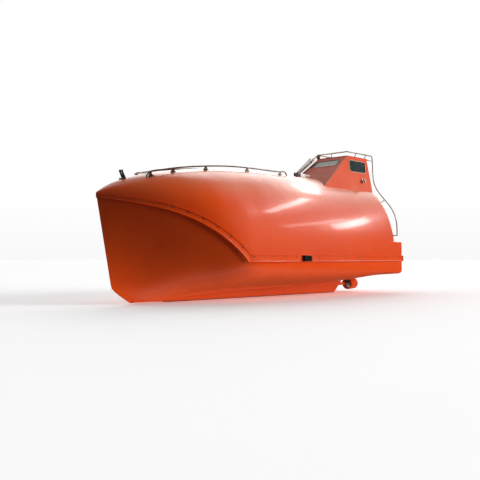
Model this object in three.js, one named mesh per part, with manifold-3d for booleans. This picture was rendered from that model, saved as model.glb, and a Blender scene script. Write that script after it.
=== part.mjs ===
// An enclosed free-fall lifeboat, 7 m long, as an assembly of separate parts.
// Units are millimetres. +X is forward, +Y is to port and +Z is up.
// The origin is amidships on the centre plane, at the waterline on which the empty boat floats.
// Distances along the boat are called "aft": they run from the stem, 0, to the transom, LENGTH.
// Heights in the station table are counted from the fender's straight run.

import * as THREE from "three";
import Module from "manifold-3d";

const wasm = await Module();
wasm.setup();

// Driving dimensions of the whole boat.
const LENGTH = 7000;
const FENDER_Z = 150; // the fender's straight run above the waterline
const KEEL_BOTTOM = -700; // below the fender, as are the other heights down to the table
const WALL = 70; // moulded shell with its foam and liner
const GAP = 0.3; // between pieces that touch

// Where the fender breaks from its sweep down from the stem to its straight run.
const SWEEP_END = 2080;
const STEM_RISE = 950;
const SWEEP_SLOPE = 0.33;
const SWEEP_POWER = 2.85;
const EASE_START = 1750;

// The raked stem and its forefoot.
const STEM_SLOPE = 0.197;
const FOREFOOT_TOP = -454;
const FOREFOOT_REACH = 310;
const STEM_FADE = 1800;

// The canopy's rounded after end, and the deck behind it.
const DOME_START = 6480;
const DOME_END = 6881;
const DOME_POWER = 5.5;
const DOME_PLAN_POWER = 4.1;
const AFT_DECK = 350;

// Columns: distance aft, half breadth at the fender, ridge height, hull bottom height, the two powers
// of the hull's section, across (1 is a straight V) and up (large is a steep side), and the canopy's
// power across.
const STATIONS = [
  [0, 0, 995, -700, 1.0, 1.0, 2.0],
  [150, 140, 1095, -700, 1.02, 1.02, 2.0],
  [350, 313, 1195, -700, 1.06, 1.08, 2.0],
  [650, 546, 1296, -700, 1.15, 1.2, 2.0],
  [1050, 802, 1383, -688, 1.3, 1.45, 2.0],
  [1500, 1017, 1462, -642, 1.45, 1.8, 2.0],
  [2080, 1175, 1540, -580, 1.58, 2.3, 2.0],
  [2400, 1196, 1568, -560, 1.6, 2.45, 2.0],
  [2850, 1201, 1594, -542, 1.63, 2.65, 2.0],
  [3500, 1200, 1612, -530, 1.8, 2.9, 1.97],
  [4400, 1195, 1620, -512, 2.0, 3.1, 1.82],
  [5200, 1165, 1622, -478, 2.5, 3.6, 1.74],
  [5660, 1137, 1623, -436, 3.0, 4.2, 1.79],
  [6070, 1100, 1623, -382, 4.0, 6.0, 1.88],
  [6500, 1058, 1621, -350, 6.5, 8.5, 2.0],
  [7000, 1018, 1611, -332, 12.0, 14.0, 2.02],
];
const CANOPY_UP = 2.1;

// The conning tower.
const ROOF = { z: 2137, front: 5905, aft: 6650, half: 380 };
const TOWER_FRONT_SLOPE = 0.743; // rise over run of the front face
const TOWER_SIDE_LEAN = 0.21;
const TOWER_FOOT = 1150;
const TOWER_WALL = 45;

// The box-shaped trunk in the after end that carries the door.
const TRUNK = { from: 6450, aft: 6900, half: 430, top: 1330 };
const DOORWAY = { half: 300, sill: 425, head: 1240 };

// The screw, its nozzle and their places.
const SHAFT_Z = -540;
const NOZZLE = { front: 6420, aft: 6686, outer: 128, inner: 92 };
const LINER = 5; // steel band inside the nozzle
const SCREW_AFT = 6550;

const GRAB_RAIL_Y = 280;
const TUBE = 13; // radius of the hand rails

const GRP = { color: 0xe0491c, roughness: 0.34, metalness: 0 };
const STEEL = { color: 0xb9b7b2, roughness: 0.28, metalness: 1 };
const BLACK = { color: 0x191918, roughness: 0.6, metalness: 0 };
const GLASS = { color: 0x2f4a46, roughness: 0.08, metalness: 0 };
const WHITE = { color: 0xe9e8df, roughness: 0.4, metalness: 0 };
const BRONZE = { color: 0x9c7436, roughness: 0.35, metalness: 1 };
const GREY = { color: 0x6f736f, roughness: 0.5, metalness: 0 };

const boat = new THREE.Group();

// From a distance aft and a height above the fender to the boat's own frame.
const X = (aft) => LENGTH / 2 - aft;
const Z = (height) => FENDER_Z + height;

// Solids and meshes.

function solid(geometry) {
  const flat = geometry.index ? geometry.toNonIndexed() : geometry;
  const position = flat.getAttribute("position");
  const ids = new Map();
  const vertices = [];
  const corners = [];
  for (let i = 0; i < position.count; i++) {
    const point = [position.getX(i), position.getY(i), position.getZ(i)];
    const key = point.map((v) => Math.round(v * 500)).join();
    if (!ids.has(key)) {
      ids.set(key, ids.size);
      vertices.push(...point);
    }
    corners.push(ids.get(key));
  }
  const triangles = [];
  for (let i = 0; i < corners.length; i += 3) {
    const [a, b, c] = corners.slice(i, i + 3);
    if (a !== b && b !== c && a !== c) triangles.push(a, b, c);
  }
  return new wasm.Manifold(
    new wasm.Mesh({
      numProp: 3,
      vertProperties: new Float32Array(vertices),
      triVerts: new Uint32Array(triangles),
    }),
  );
}

// The largest body of a solid, without slivers that a cut leaves.
function largest(made) {
  return made.decompose().sort((a, b) => b.volume() - a.volume())[0];
}

function geometryOf(made) {
  const mesh = made.getMesh();
  const geometry = new THREE.BufferGeometry();
  geometry.setAttribute("position", new THREE.BufferAttribute(mesh.vertProperties, 3));
  geometry.setIndex(new THREE.BufferAttribute(mesh.triVerts, 1));
  const flat = geometry.toNonIndexed();
  flat.computeVertexNormals();
  return flat;
}

function add(name, shape, finish, parent = boat) {
  const geometry = shape.isBufferGeometry ? shape : geometryOf(shape);
  const mesh = new THREE.Mesh(geometry, new THREE.MeshStandardMaterial(finish));
  mesh.name = name;
  parent.add(mesh);
  return mesh;
}

function moved(geometry, x, y, z) {
  return solid(geometry.clone().translate(x, y, z));
}

// A box between two corners.
function block(low, high) {
  const size = high.map((v, k) => v - low[k]);
  const middle = high.map((v, k) => (v + low[k]) / 2);
  return moved(new THREE.BoxGeometry(...size), ...middle);
}

// A cylinder between two points.
function rod(from, to, radius, sides = 12) {
  const a = new THREE.Vector3(...from);
  const b = new THREE.Vector3(...to);
  const along = b.clone().sub(a);
  const geometry = new THREE.CylinderGeometry(radius, radius, along.length(), sides);
  const turn = new THREE.Quaternion().setFromUnitVectors(
    new THREE.Vector3(0, 1, 0),
    along.clone().normalize(),
  );
  geometry.applyQuaternion(turn);
  const middle = a.add(b).multiplyScalar(0.5);
  return moved(geometry, middle.x, middle.y, middle.z);
}

// A bent tube through points.
function tube(points, radius, steps, sides = 8) {
  const path = new THREE.CatmullRomCurve3(
    points.map((p) => new THREE.Vector3(...p)),
    false,
    "centripetal",
  );
  const ring = new THREE.Shape(
    Array.from({ length: sides }, (_, k) => {
      const angle = (2 * Math.PI * k) / sides;
      return new THREE.Vector2(radius * Math.cos(angle), radius * Math.sin(angle));
    }),
  );
  return solid(
    new THREE.ExtrudeGeometry(ring, { steps, bevelEnabled: false, extrudePath: path }),
  );
}

// A four-sided outline with rounded corners, whose top edge lies off to one side by shear.
function roundedOutline(bottomHalf, topHalf, height, radius, shear = 0) {
  const shape = new THREE.Shape();
  const corners = [
    [-bottomHalf - shear / 2, -height / 2],
    [bottomHalf - shear / 2, -height / 2],
    [topHalf + shear / 2, height / 2],
    [-topHalf + shear / 2, height / 2],
  ].map((p) => new THREE.Vector2(...p));
  corners.forEach((corner, k) => {
    const before = corners[(k + 3) % 4];
    const after = corners[(k + 1) % 4];
    const start = corner.clone().add(before.clone().sub(corner).setLength(radius));
    const end = corner.clone().add(after.clone().sub(corner).setLength(radius));
    if (k === 0) shape.moveTo(start.x, start.y);
    else shape.lineTo(start.x, start.y);
    shape.quadraticCurveTo(corner.x, corner.y, end.x, end.y);
  });
  shape.closePath();
  return shape;
}

// Joins triangles between rows of points on the port side, mirrors them to starboard and closes the rest.
// A row runs upwards, and the rows run aft.
function symmetricLoft(rows) {
  const triangles = [];
  const port = (i, j) => rows[i][j];
  const starboard = (i, j) => [rows[i][j][0], -rows[i][j][1], rows[i][j][2]];
  const quad = (a, b, c, d) => triangles.push(a, b, c, a, c, d);
  const last = rows.length - 1;
  const top = rows[0].length - 1;
  for (let i = 0; i < last; i++) {
    for (let j = 0; j < top; j++) {
      quad(port(i, j), port(i + 1, j), port(i + 1, j + 1), port(i, j + 1));
      quad(starboard(i, j), starboard(i, j + 1), starboard(i + 1, j + 1), starboard(i + 1, j));
    }
    quad(port(i, top), port(i + 1, top), starboard(i + 1, top), starboard(i, top));
    quad(port(i, 0), starboard(i, 0), starboard(i + 1, 0), port(i + 1, 0));
  }
  for (let j = 0; j < top; j++) {
    quad(port(0, j), port(0, j + 1), starboard(0, j + 1), starboard(0, j));
    quad(port(last, j), starboard(last, j), starboard(last, j + 1), port(last, j + 1));
  }
  const geometry = new THREE.BufferGeometry();
  geometry.setAttribute(
    "position",
    new THREE.Float32BufferAttribute(triangles.flat(), 3),
  );
  return solid(geometry);
}

// Joins closed rings of points into one body with flat ends.
function ringLoft(rings) {
  const triangles = [];
  const count = rings[0].length;
  for (let i = 0; i + 1 < rings.length; i++) {
    for (let k = 0; k < count; k++) {
      const m = (k + 1) % count;
      const [a, b, c, d] = [rings[i][k], rings[i][m], rings[i + 1][m], rings[i + 1][k]];
      triangles.push(a, b, c, a, c, d);
    }
  }
  const end = rings.length - 1;
  for (let k = 1; k + 1 < count; k++) {
    triangles.push(rings[0][0], rings[0][k + 1], rings[0][k]);
    triangles.push(rings[end][0], rings[end][k], rings[end][k + 1]);
  }
  const geometry = new THREE.BufferGeometry();
  geometry.setAttribute(
    "position",
    new THREE.Float32BufferAttribute(triangles.flat(), 3),
  );
  const made = solid(geometry);
  if (made.volume() > 0) return made;
  const turned = new THREE.BufferGeometry();
  const order = [];
  for (let i = 0; i < triangles.length; i += 3) {
    order.push(triangles[i], triangles[i + 2], triangles[i + 1]);
  }
  turned.setAttribute("position", new THREE.Float32BufferAttribute(order.flat(), 3));
  return solid(turned);
}

// The boat's lines.

// A natural cubic spline through points: a curve whose bend changes evenly between them.
function naturalSpline(x, y) {
  const last = x.length - 1;
  const bend = Array(x.length).fill(0);
  const carry = Array(x.length).fill(0);
  for (let i = 1; i < last; i++) {
    const span = x[i + 1] - x[i - 1];
    const share = (x[i] - x[i - 1]) / span;
    const turn = (y[i + 1] - y[i]) / (x[i + 1] - x[i]) - (y[i] - y[i - 1]) / (x[i] - x[i - 1]);
    const pivot = share * bend[i - 1] + 2;
    bend[i] = (share - 1) / pivot;
    carry[i] = ((6 * turn) / span - share * carry[i - 1]) / pivot;
  }
  for (let i = last - 1; i > 0; i--) bend[i] = bend[i] * bend[i + 1] + carry[i];
  return (at) => {
    const s = Math.min(Math.max(at, x[0]), x[last]);
    let i = 0;
    while (i < last - 1 && s > x[i + 1]) i++;
    const width = x[i + 1] - x[i];
    const b = (s - x[i]) / width;
    const a = 1 - b;
    const curve = (a ** 3 - a) * bend[i] + (b ** 3 - b) * bend[i + 1];
    return a * y[i] + b * y[i + 1] + (curve * width ** 2) / 6;
  };
}

const PLACES_OF_STATIONS = STATIONS.map((row) => row[0]);
const [halfBreadth, ridge, bottom, hullAcross, hullUp, canopyAcross] = [1, 2, 3, 4, 5, 6].map((index) =>
  naturalSpline(PLACES_OF_STATIONS, STATIONS.map((row) => row[index])),
);

// The fender's height: it sweeps down from the stem in a curve, and runs level from SWEEP_END.
function fenderRise(aft) {
  const t = Math.max(aft, 0) / SWEEP_END;
  return t >= 1 ? 0 : STEM_RISE * (1 - SWEEP_SLOPE * t - (1 - SWEEP_SLOPE) * t ** SWEEP_POWER);
}

// The height of the body's widest line: the fender's at the bow, from where it eases down to level
// as a parabola while the fender turns sharply.
const EASE_RISE = fenderRise(EASE_START);
const EASE_FALL = (fenderRise(EASE_START - 1) - fenderRise(EASE_START + 1)) / 2;
const EASE_LENGTH = (2 * EASE_RISE) / EASE_FALL;

function widestRise(aft) {
  if (aft <= EASE_START) return fenderRise(aft);
  return EASE_RISE * Math.max(1 - (aft - EASE_START) / EASE_LENGTH, 0) ** 2;
}

// How far the stem's rake moves a point aft: most at the forefoot, and nothing at STEM_FADE.
function rake(aft, height) {
  if (aft >= STEM_FADE) return 0;
  const low = Math.max(FOREFOOT_TOP - height, 0) / (FOREFOOT_TOP - KEEL_BOTTOM);
  const reach = STEM_SLOPE * (STATIONS[0][2] - height) + FOREFOOT_REACH * low ** 1.3;
  return reach * (1 - aft / STEM_FADE) ** 2;
}

// A point of the body, from its distance aft, half breadth and height above the fender.
const bodyPoint = (aft, half, height) => [X(aft + rake(aft, height)), half, Z(height)];

// What is left of the canopy's section at a distance aft, where its after end rounds off.
function domeShare(aft) {
  const w = Math.max(aft - DOME_START, 0) / (DOME_END - DOME_START);
  return Math.max(1 - Math.min(w, 1) ** DOME_POWER, 0);
}

function domeSection(aft) {
  const share = domeShare(aft);
  const across = aft > DOME_START ? DOME_PLAN_POWER : canopyAcross(aft);
  return {
    half: halfBreadth(aft) * share ** (1 / across),
    low: widestRise(aft),
    rise: (ridge(aft) - widestRise(aft)) * share ** (1 / CANOPY_UP),
  };
}

// The canopy's height above the fender at a half breadth.
function canopyHeight(aft, half) {
  const section = domeSection(aft);
  const across = Math.min(Math.abs(half) / section.half, 1) ** canopyAcross(aft);
  return section.low + section.rise * (1 - across) ** (1 / CANOPY_UP);
}

const HULL_STEPS = 9;
const SHOULDER_STEPS = 2; // between the fender and the widest line
const SIDE_STEPS = 2; // from there to the after deck's height
const CANOPY_STEPS = 8;
const CABIN_STEPS = 6;
const QUARTER = Math.PI / 2;
const steps = (count) => Array.from({ length: count + 1 }, (_, j) => j / count);

// A point of the body below its widest line: angle 0 is the bottom, and a quarter turn is that line.
function lowerPoint(aft, angle) {
  const depth = widestRise(aft) - bottom(aft);
  const half = halfBreadth(aft) * Math.sin(angle) ** (2 / hullAcross(aft));
  const drop = depth * Math.max(Math.cos(angle), 0) ** (2 / hullUp(aft));
  return bodyPoint(aft, half, widestRise(aft) - drop);
}

// The angle at which the section below the widest line reaches a height near the fender's.
function fenderAngle(aft, lift) {
  const depth = widestRise(aft) - bottom(aft);
  const share = Math.max(widestRise(aft) - fenderRise(aft) - lift, 0) / depth;
  return Math.acos(Math.min(share ** (hullUp(aft) / 2), 1));
}

function hullRow(aft, lift) {
  const top = fenderAngle(aft, 0);
  const row = steps(HULL_STEPS).map((t) => lowerPoint(aft, top * t));
  const edge = row[HULL_STEPS];
  row[HULL_STEPS] = [edge[0], edge[1], Z(fenderRise(aft) + lift)];
  return row;
}

// From the fender up over the widest line and the side to the after deck's height, and from there
// over the domed part. Before the dome both follow one curve, and behind it the deck is left.
function canopyRow(aft, clearance) {
  const half = halfBreadth(aft);
  const low = widestRise(aft);
  const rise = ridge(aft) - low;
  const dome = domeSection(aft);
  const across = canopyAcross(aft);
  const deck = Math.max(AFT_DECK - low, rise / 20);
  const side = Math.asin((deck / rise) ** (CANOPY_UP / 2));
  const start = Math.asin(Math.min(deck / dome.rise, 1) ** (CANOPY_UP / 2));
  const first = fenderAngle(aft, 0);
  const shoulder = steps(SHOULDER_STEPS).map((t) => lowerPoint(aft, first + (QUARTER - first) * t));
  shoulder[0][2] = Z(fenderRise(aft) + clearance);
  const lower = steps(SIDE_STEPS).map((t) => {
    const lift = Math.max(rise * Math.sin(side * t) ** (2 / CANOPY_UP), clearance);
    return bodyPoint(aft, half * Math.cos(side * t) ** (2 / across), low + lift);
  });
  const upper = steps(CANOPY_STEPS).map((t) => {
    const angle = start + (QUARTER - start) * t;
    const y = t === 1 ? 0 : dome.half * Math.cos(angle) ** (2 / across);
    return bodyPoint(aft, y, low + Math.max(dome.rise * Math.sin(angle) ** (2 / CANOPY_UP), deck));
  });
  return [...shoulder, ...lower.slice(1), ...upper];
}

// The space inside hull and canopy: both sections, drawn in by the wall.
function cabinRow(aft) {
  const half = halfBreadth(aft);
  const share = domeShare(aft + WALL);
  const depth = widestRise(aft) - bottom(aft);
  const inner = (half - WALL) * share ** (1 / DOME_PLAN_POWER);
  const down = depth - (WALL * Math.hypot(half, depth)) / half;
  const rise = (ridge(aft) - widestRise(aft)) * share ** (1 / CANOPY_UP) - WALL;
  return steps(2 * CABIN_STEPS).map((t) => {
    const angle = QUARTER * (2 * t - 1);
    const below = t < 0.5;
    const across = below ? hullAcross(aft) : canopyAcross(aft);
    const up = below ? hullUp(aft) : CANOPY_UP;
    const y = t === 0 || t === 1 ? 0 : inner * Math.cos(angle) ** (2 / across);
    const reach = Math.abs(Math.sin(angle)) ** (2 / up);
    return bodyPoint(aft, y, widestRise(aft) + (below ? -down : rise) * reach);
  });
}

const BOW_PLACES = [0, 60, 150, 270, 420, 600, 800, 1020, 1250, 1480, 1700, 1850, 1980, 2080];
const BODY_PLACES = [...BOW_PLACES, 2160, 2260, 2400, 2600, 2850, 3200, 3800, 4400, 5000, 5500, 5800, 6070];
const HULL_PLACES = [...BODY_PLACES, 6300, DOME_START, 6600, 6785, LENGTH];
const DOME_PLACES = [6300, DOME_START, 6600, 6680, 6740, 6785, 6820, 6850, 6870, DOME_END];
const CANOPY_PLACES = [...BODY_PLACES, ...DOME_PLACES, LENGTH];
const CABIN_PLACES = [1150, 1500, 1800, 2080, 2400, 2850, 3500, 4400, 5200, 5900, 6300, 6580, 6740];

const hullOuter = symmetricLoft(HULL_PLACES.map((aft) => hullRow(aft, -GAP / 2)));
const canopyBody = symmetricLoft(CANOPY_PLACES.map((aft) => canopyRow(aft, GAP / 2)));
const trunk = block(
  [X(TRUNK.aft), -TRUNK.half, Z(200)],
  [X(TRUNK.from), TRUNK.half, Z(TRUNK.top)],
);
const canopyOuter = largest(canopyBody.add(trunk));
const cabin = symmetricLoft(CABIN_PLACES.map(cabinRow));

// Hull, canopy and tower.

function addHull() {
  const stockHole = rod([X(SCREW_AFT), 0, Z(-600)], [X(SCREW_AFT), 0, Z(0)], 30, 16);
  add("hull_shell", largest(hullOuter.subtract(cabin).subtract(stockHole)), GRP);
}

function addCanopy() {
  const doorway = block(
    [X(TRUNK.aft) - 1, -DOORWAY.half, Z(DOORWAY.sill)],
    [X(6500), DOORWAY.half, Z(DOORWAY.head)],
  );
  const towerWell = block([X(6560), -400, Z(1250)], [X(5400), 400, Z(2000)]);
  const shell = canopyOuter.subtract(cabin).subtract(doorway).subtract(towerWell);
  add("canopy_shell", largest(shell), GRP);
}

// The tower's four-sided body between two heights, drawn in by a wall.
function towerBody(foot, head, wall) {
  const frontShift = wall * Math.hypot(1, 1 / TOWER_FRONT_SLOPE);
  const sideShift = wall * Math.hypot(1, TOWER_SIDE_LEAN);
  const level = (height) => {
    const front = ROOF.front - (ROOF.z - height) / TOWER_FRONT_SLOPE + frontShift;
    const half = ROOF.half + (ROOF.z - height) * TOWER_SIDE_LEAN - sideShift;
    const aft = ROOF.aft - wall;
    return [
      [X(front), half, Z(height)],
      [X(aft), half, Z(height)],
      [X(aft), -half, Z(height)],
      [X(front), -half, Z(height)],
    ];
  };
  return ringLoft([level(foot), level(head)]);
}

// Where each window sits on the tower: its centre, its outward normal, its size, and how far its top
// lies to one side of its bottom.
const SIDE_TILT = Math.atan(TOWER_SIDE_LEAN);
const FRONT_TILT = Math.atan(TOWER_FRONT_SLOPE);
const SIDE_WINDOW_AFT = 6226;
const SIDE_WINDOW_SHEAR = 32;
const sideWindowHeight = 1931;
const frontWindowHeight = 1982;
const sideWindowHalf = ROOF.half + (ROOF.z - sideWindowHeight) * TOWER_SIDE_LEAN;
const frontWindowAft = ROOF.front - (ROOF.z - frontWindowHeight) / TOWER_FRONT_SLOPE;
const WINDOWS = [
  {
    name: "front",
    centre: [X(frontWindowAft), 0, Z(frontWindowHeight)],
    normal: [Math.sin(FRONT_TILT), 0, Math.cos(FRONT_TILT)],
    bottom: 330,
    top: 285,
    height: 245,
    radius: 30,
  },
  {
    name: "port",
    centre: [X(SIDE_WINDOW_AFT), sideWindowHalf, Z(sideWindowHeight)],
    normal: [0, Math.cos(SIDE_TILT), Math.sin(SIDE_TILT)],
    bottom: 279,
    top: 288,
    height: 238,
    radius: 50,
    shear: SIDE_WINDOW_SHEAR,
  },
  {
    name: "starboard",
    centre: [X(SIDE_WINDOW_AFT), -sideWindowHalf, Z(sideWindowHeight)],
    normal: [0, -Math.cos(SIDE_TILT), Math.sin(SIDE_TILT)],
    bottom: 279,
    top: 288,
    height: 238,
    radius: 50,
    shear: -SIDE_WINDOW_SHEAR,
  },
  {
    name: "aft",
    centre: [X(ROOF.aft), 0, Z(sideWindowHeight)],
    normal: [-1, 0, 0],
    bottom: 250,
    top: 250,
    height: 240,
    radius: 50,
  },
];

const GLASS_THICK = 10;

// A shape drawn on a window's plane, from depth below its surface up to height above it.
function onWindow(window, shape, depth, height) {
  const normal = new THREE.Vector3(...window.normal);
  const across = new THREE.Vector3(0, 0, 1).cross(normal).normalize();
  const up = normal.clone().cross(across);
  const geometry = new THREE.ExtrudeGeometry(shape, {
    depth: depth + height,
    bevelEnabled: false,
    curveSegments: 4,
  });
  geometry.translate(0, 0, -depth);
  geometry.applyMatrix4(new THREE.Matrix4().makeBasis(across, up, normal));
  return moved(geometry, ...window.centre);
}

function windowShape(window, growth) {
  return roundedOutline(
    window.bottom + growth,
    window.top + growth,
    window.height + 2 * growth,
    window.radius + growth,
    window.shear,
  );
}

function addTower() {
  let shell = towerBody(TOWER_FOOT, ROOF.z, 0)
    .subtract(towerBody(TOWER_FOOT - 100, ROOF.z - TOWER_WALL, TOWER_WALL))
    .subtract(canopyOuter.translate([0, 0, GAP]));
  for (const window of WINDOWS) {
    shell = shell.subtract(onWindow(window, windowShape(window, 0), 2 * TOWER_WALL, 20));
  }
  add("tower_shell", largest(shell), GRP);
  for (const window of WINDOWS) {
    const glass = onWindow(window, windowShape(window, -GAP), GLASS_THICK + 4, -4);
    add(`window_glass_${window.name}`, glass, GLASS);
    const lip = onWindow(window, windowShape(window, 20), -GAP, 7).subtract(
      onWindow(window, windowShape(window, -4), 20, 20),
    );
    add(`window_lip_${window.name}`, lip, GRP);
  }
}

// Keel. It narrows into the V of the bow, and its heel rises to the screw.

const KEEL_HEEL = 5905;
// Columns: distance aft, half breadth, height of the lower edge.
const KEEL_SECTIONS = [
  [660, 8, KEEL_BOTTOM],
  [1000, 27, KEEL_BOTTOM],
  [1500, 60, KEEL_BOTTOM],
  [KEEL_HEEL, 60, KEEL_BOTTOM],
  [6030, 60, -592],
  [6148, 52, -489],
  [6262, 43, -376],
];
const KEEL_TOP = -340; // inside the hull, which cuts it off
const SHOE = { from: 1300, half: 45, thick: 12 };
const STERN_TUBE = { from: 5720, aft: 6330, radius: 30, bore: 16.5 };

function addKeel() {
  const rows = KEEL_SECTIONS.map(([aft, half, edge]) => [
    [X(aft), half, Z(edge)],
    [X(aft), half, Z(KEEL_TOP)],
  ]);
  const [front, end] = [STERN_TUBE.from - 20, STERN_TUBE.aft + 170].map((aft) => [X(aft), 0, Z(SHAFT_Z)]);
  const tubeBore = rod(front, end, STERN_TUBE.radius + GAP, 16);
  const skeg = symmetricLoft(rows).subtract(hullOuter.translate([0, 0, -GAP])).subtract(tubeBore);
  add("keel_skeg", largest(skeg), GRP);
  const shoe = block(
    [X(KEEL_HEEL), -SHOE.half, Z(KEEL_BOTTOM) - SHOE.thick],
    [X(SHOE.from), SHOE.half, Z(KEEL_BOTTOM) - GAP],
  );
  add("keel_shoe", shoe, STEEL);
}

// Fender.

const SEAT = 3.5; // between the fender and the body
const STERN_FENDER_DEPTH = 30;
const fenderThickness = (aft) => 20 + 30 * Math.min(Math.max(aft, 0) / 1500, 1);
const fenderHalfHeight = (aft) => 30 + 30 * Math.min(Math.max(aft, 0) / SWEEP_END, 1);

// The half breadth of the body at a height.
function sideBreadth(aft, height) {
  const widest = widestRise(aft);
  const below = height < widest;
  const reach = below ? widest - bottom(aft) : ridge(aft) - widest;
  const share = Math.min(Math.abs(height - widest) / reach, 1);
  const across = below ? hullAcross(aft) : canopyAcross(aft);
  const up = below ? hullUp(aft) : CANOPY_UP;
  return halfBreadth(aft) * (1 - share ** up) ** (1 / across);
}

const SLOPE_STEP = 4; // the distance over which the fender's slope is taken

// The fender's section at a distance aft: three points against the body and two outside.
function fenderRing(aft) {
  const [before, after] = [Math.max(aft - SLOPE_STEP, 0), Math.min(aft + SLOPE_STEP, LENGTH)];
  const incoming = Math.atan2(fenderRise(aft) - fenderRise(before), aft - before || 1);
  const outgoing = Math.atan2(fenderRise(after) - fenderRise(aft), after - aft || 1);
  const slope = aft === 0 ? outgoing : (incoming + outgoing) / 2;
  const high = fenderHalfHeight(aft) / Math.cos(incoming - slope);
  const thick = fenderThickness(aft);
  const [lean, lift] = aft === 0 ? [0, 1] : [-Math.sin(slope), Math.cos(slope)];
  const turn = Math.atan2(halfBreadth(after) - halfBreadth(before), after - before);
  const [ahead, out] = aft === LENGTH ? [0, 1] : [Math.sin(turn), Math.cos(turn)];
  const edge = (share, depth) => {
    const at = aft + lean * high * share;
    const height = fenderRise(aft) + lift * high * share;
    if (aft === 0) {
      const [x, , z] = bodyPoint(0, 0, height);
      return [x + depth * Math.SQRT2, GAP / 2, z];
    }
    const [x, y, z] = bodyPoint(at, sideBreadth(at, height), height);
    return [x + ahead * depth, y + out * depth, z];
  };
  const outer = (share) => {
    const inside = edge(share, SEAT);
    const [, y] = edge(0, thick);
    return [inside[0] + ahead * (thick - SEAT), aft === 0 ? GAP / 2 : y, inside[2]];
  };
  return [edge(0, SEAT), edge(-1, SEAT), outer(-1), outer(1), edge(1, SEAT)];
}

function addFender() {
  const port = ringLoft(HULL_PLACES.map(fenderRing));
  add("fender_port", port, GRP);
  add("fender_starboard", port.mirror([0, 1, 0]), GRP);
  const half = fenderHalfHeight(LENGTH);
  const reach = halfBreadth(LENGTH) + fenderThickness(LENGTH);
  const stern = block(
    [X(LENGTH) - STERN_FENDER_DEPTH, -reach, Z(-half)],
    [X(LENGTH) - GAP, reach, Z(half)],
  );
  add("fender_stern", stern, GRP);
}

// Two blocks on each side of the fender, amidships.
const STOP_HALF_HEIGHT = 50;
// Columns: name, where it begins and ends as distances aft, depth, finish.
const STOPS = [
  ["side_stop", 3372, 3490, 34, BLACK],
  ["side_plate", 3498, 3616, 24, STEEL],
];

function addSideStops() {
  const middle = 3500;
  const face = halfBreadth(middle) + fenderThickness(middle) + 3 * GAP;
  for (const [name, from, to, depth, finish] of STOPS) {
    const stop = block(
      [X(to), face, Z(-STOP_HALF_HEIGHT)],
      [X(from), face + depth, Z(STOP_HALF_HEIGHT)],
    );
    add(`${name}_port`, stop, finish);
    add(`${name}_starboard`, stop.mirror([0, 1, 0]), finish);
  }
}

// Hand rails.

// Where the hand rails along the canopy stand on a foot.
const GRAB_POSTS = [830, 1270, 1980, 2990, 3890];
const GRAB_ENDS = [790, 4040];
const GRAB_RISE = 62; // the rail's centre above the canopy

const grabHeight = (aft) => canopyHeight(aft, GRAB_RAIL_Y) + GRAB_RISE;

// A gusset between rail and canopy, wide at its foot.
const FOOT = { half: 48, top: 14, thick: 12, edge: 8 };

function railFoot(aft) {
  const shape = new THREE.Shape(
    [
      [-FOOT.half, -GRAB_RISE - 30],
      [FOOT.half, -GRAB_RISE - 30],
      [FOOT.half, -GRAB_RISE + FOOT.edge],
      [FOOT.top, 0],
      [-FOOT.top, 0],
      [-FOOT.half, -GRAB_RISE + FOOT.edge],
    ].map((p) => new THREE.Vector2(...p)),
  );
  const foot = new THREE.ExtrudeGeometry(shape, { depth: FOOT.thick, bevelEnabled: false });
  const [x] = bodyPoint(aft, GRAB_RAIL_Y, grabHeight(aft));
  const y = GRAB_RAIL_Y + FOOT.thick / 2;
  return moved(foot.rotateX(Math.PI / 2), x, y, Z(grabHeight(aft)));
}

const CROSS = { aft: 930, radius: 11 };

function addGrabRails() {
  const [fore, rear] = GRAB_ENDS;
  const places = [fore, 1050, ...GRAB_POSTS.slice(1), rear];
  const railPoint = (aft) => bodyPoint(aft, GRAB_RAIL_Y, grabHeight(aft));
  const foot = (aft) => bodyPoint(aft, GRAB_RAIL_Y, canopyHeight(aft, GRAB_RAIL_Y) - 15);
  const points = [foot(fore - 55), ...places.map(railPoint), foot(rear + 50)];
  let rail = tube(points, TUBE, 28);
  for (const aft of GRAB_POSTS) rail = rail.add(railFoot(aft));
  const kept = largest(rail.subtract(canopyOuter.translate([0, 0, GAP])));
  add("grab_rail_port", kept, STEEL);
  add("grab_rail_starboard", kept.mirror([0, 1, 0]), STEEL);
  const [x, , z] = railPoint(CROSS.aft);
  const reach = GRAB_RAIL_Y - TUBE - GAP;
  add("grab_rail_cross", rod([x, -reach, z], [x, reach, z], CROSS.radius, 12), STEEL);
}

const RAIL_LIFT = 88; // the roof rail above the roof
const RAIL_END = 6790;
const RAIL_FRONT = ROOF.front + 12;
const RAIL_HALF = ROOF.half + 5;
// Columns: distance aft and distance to port of the rail's posts, and their lean outwards.
const ROOF_POSTS = [
  [RAIL_FRONT + 25, -RAIL_HALF + 30, -30],
  [RAIL_FRONT + 15, -28, 0],
  [6235, RAIL_HALF - 30, 30],
  [6235, -RAIL_HALF + 30, -30],
  [6600, RAIL_HALF - 35, 30],
  [6600, -RAIL_HALF + 35, -30],
];
// Where the leg down the starboard front edge bends towards the canopy.
const LEG = { aft: 5030, y: -585, bend: 1500, foot: 1300 };
// The radar reflector's tube: its radius, and how far it lies from the leg.
const REFLECTOR = { radius: 31, ahead: 36, out: 42, up: -6, from: 0.14, to: 0.84 };

function roofPost([aft, y, lean]) {
  const x = X(aft);
  const foot = [x, y, Z(ROOF.z) + GAP];
  const plate = rod(foot, [x, y, Z(ROOF.z) + 8], 24, 12);
  return rod(foot, [x, y + lean, Z(ROOF.z + RAIL_LIFT)], 9, 8).add(plate);
}

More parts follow.
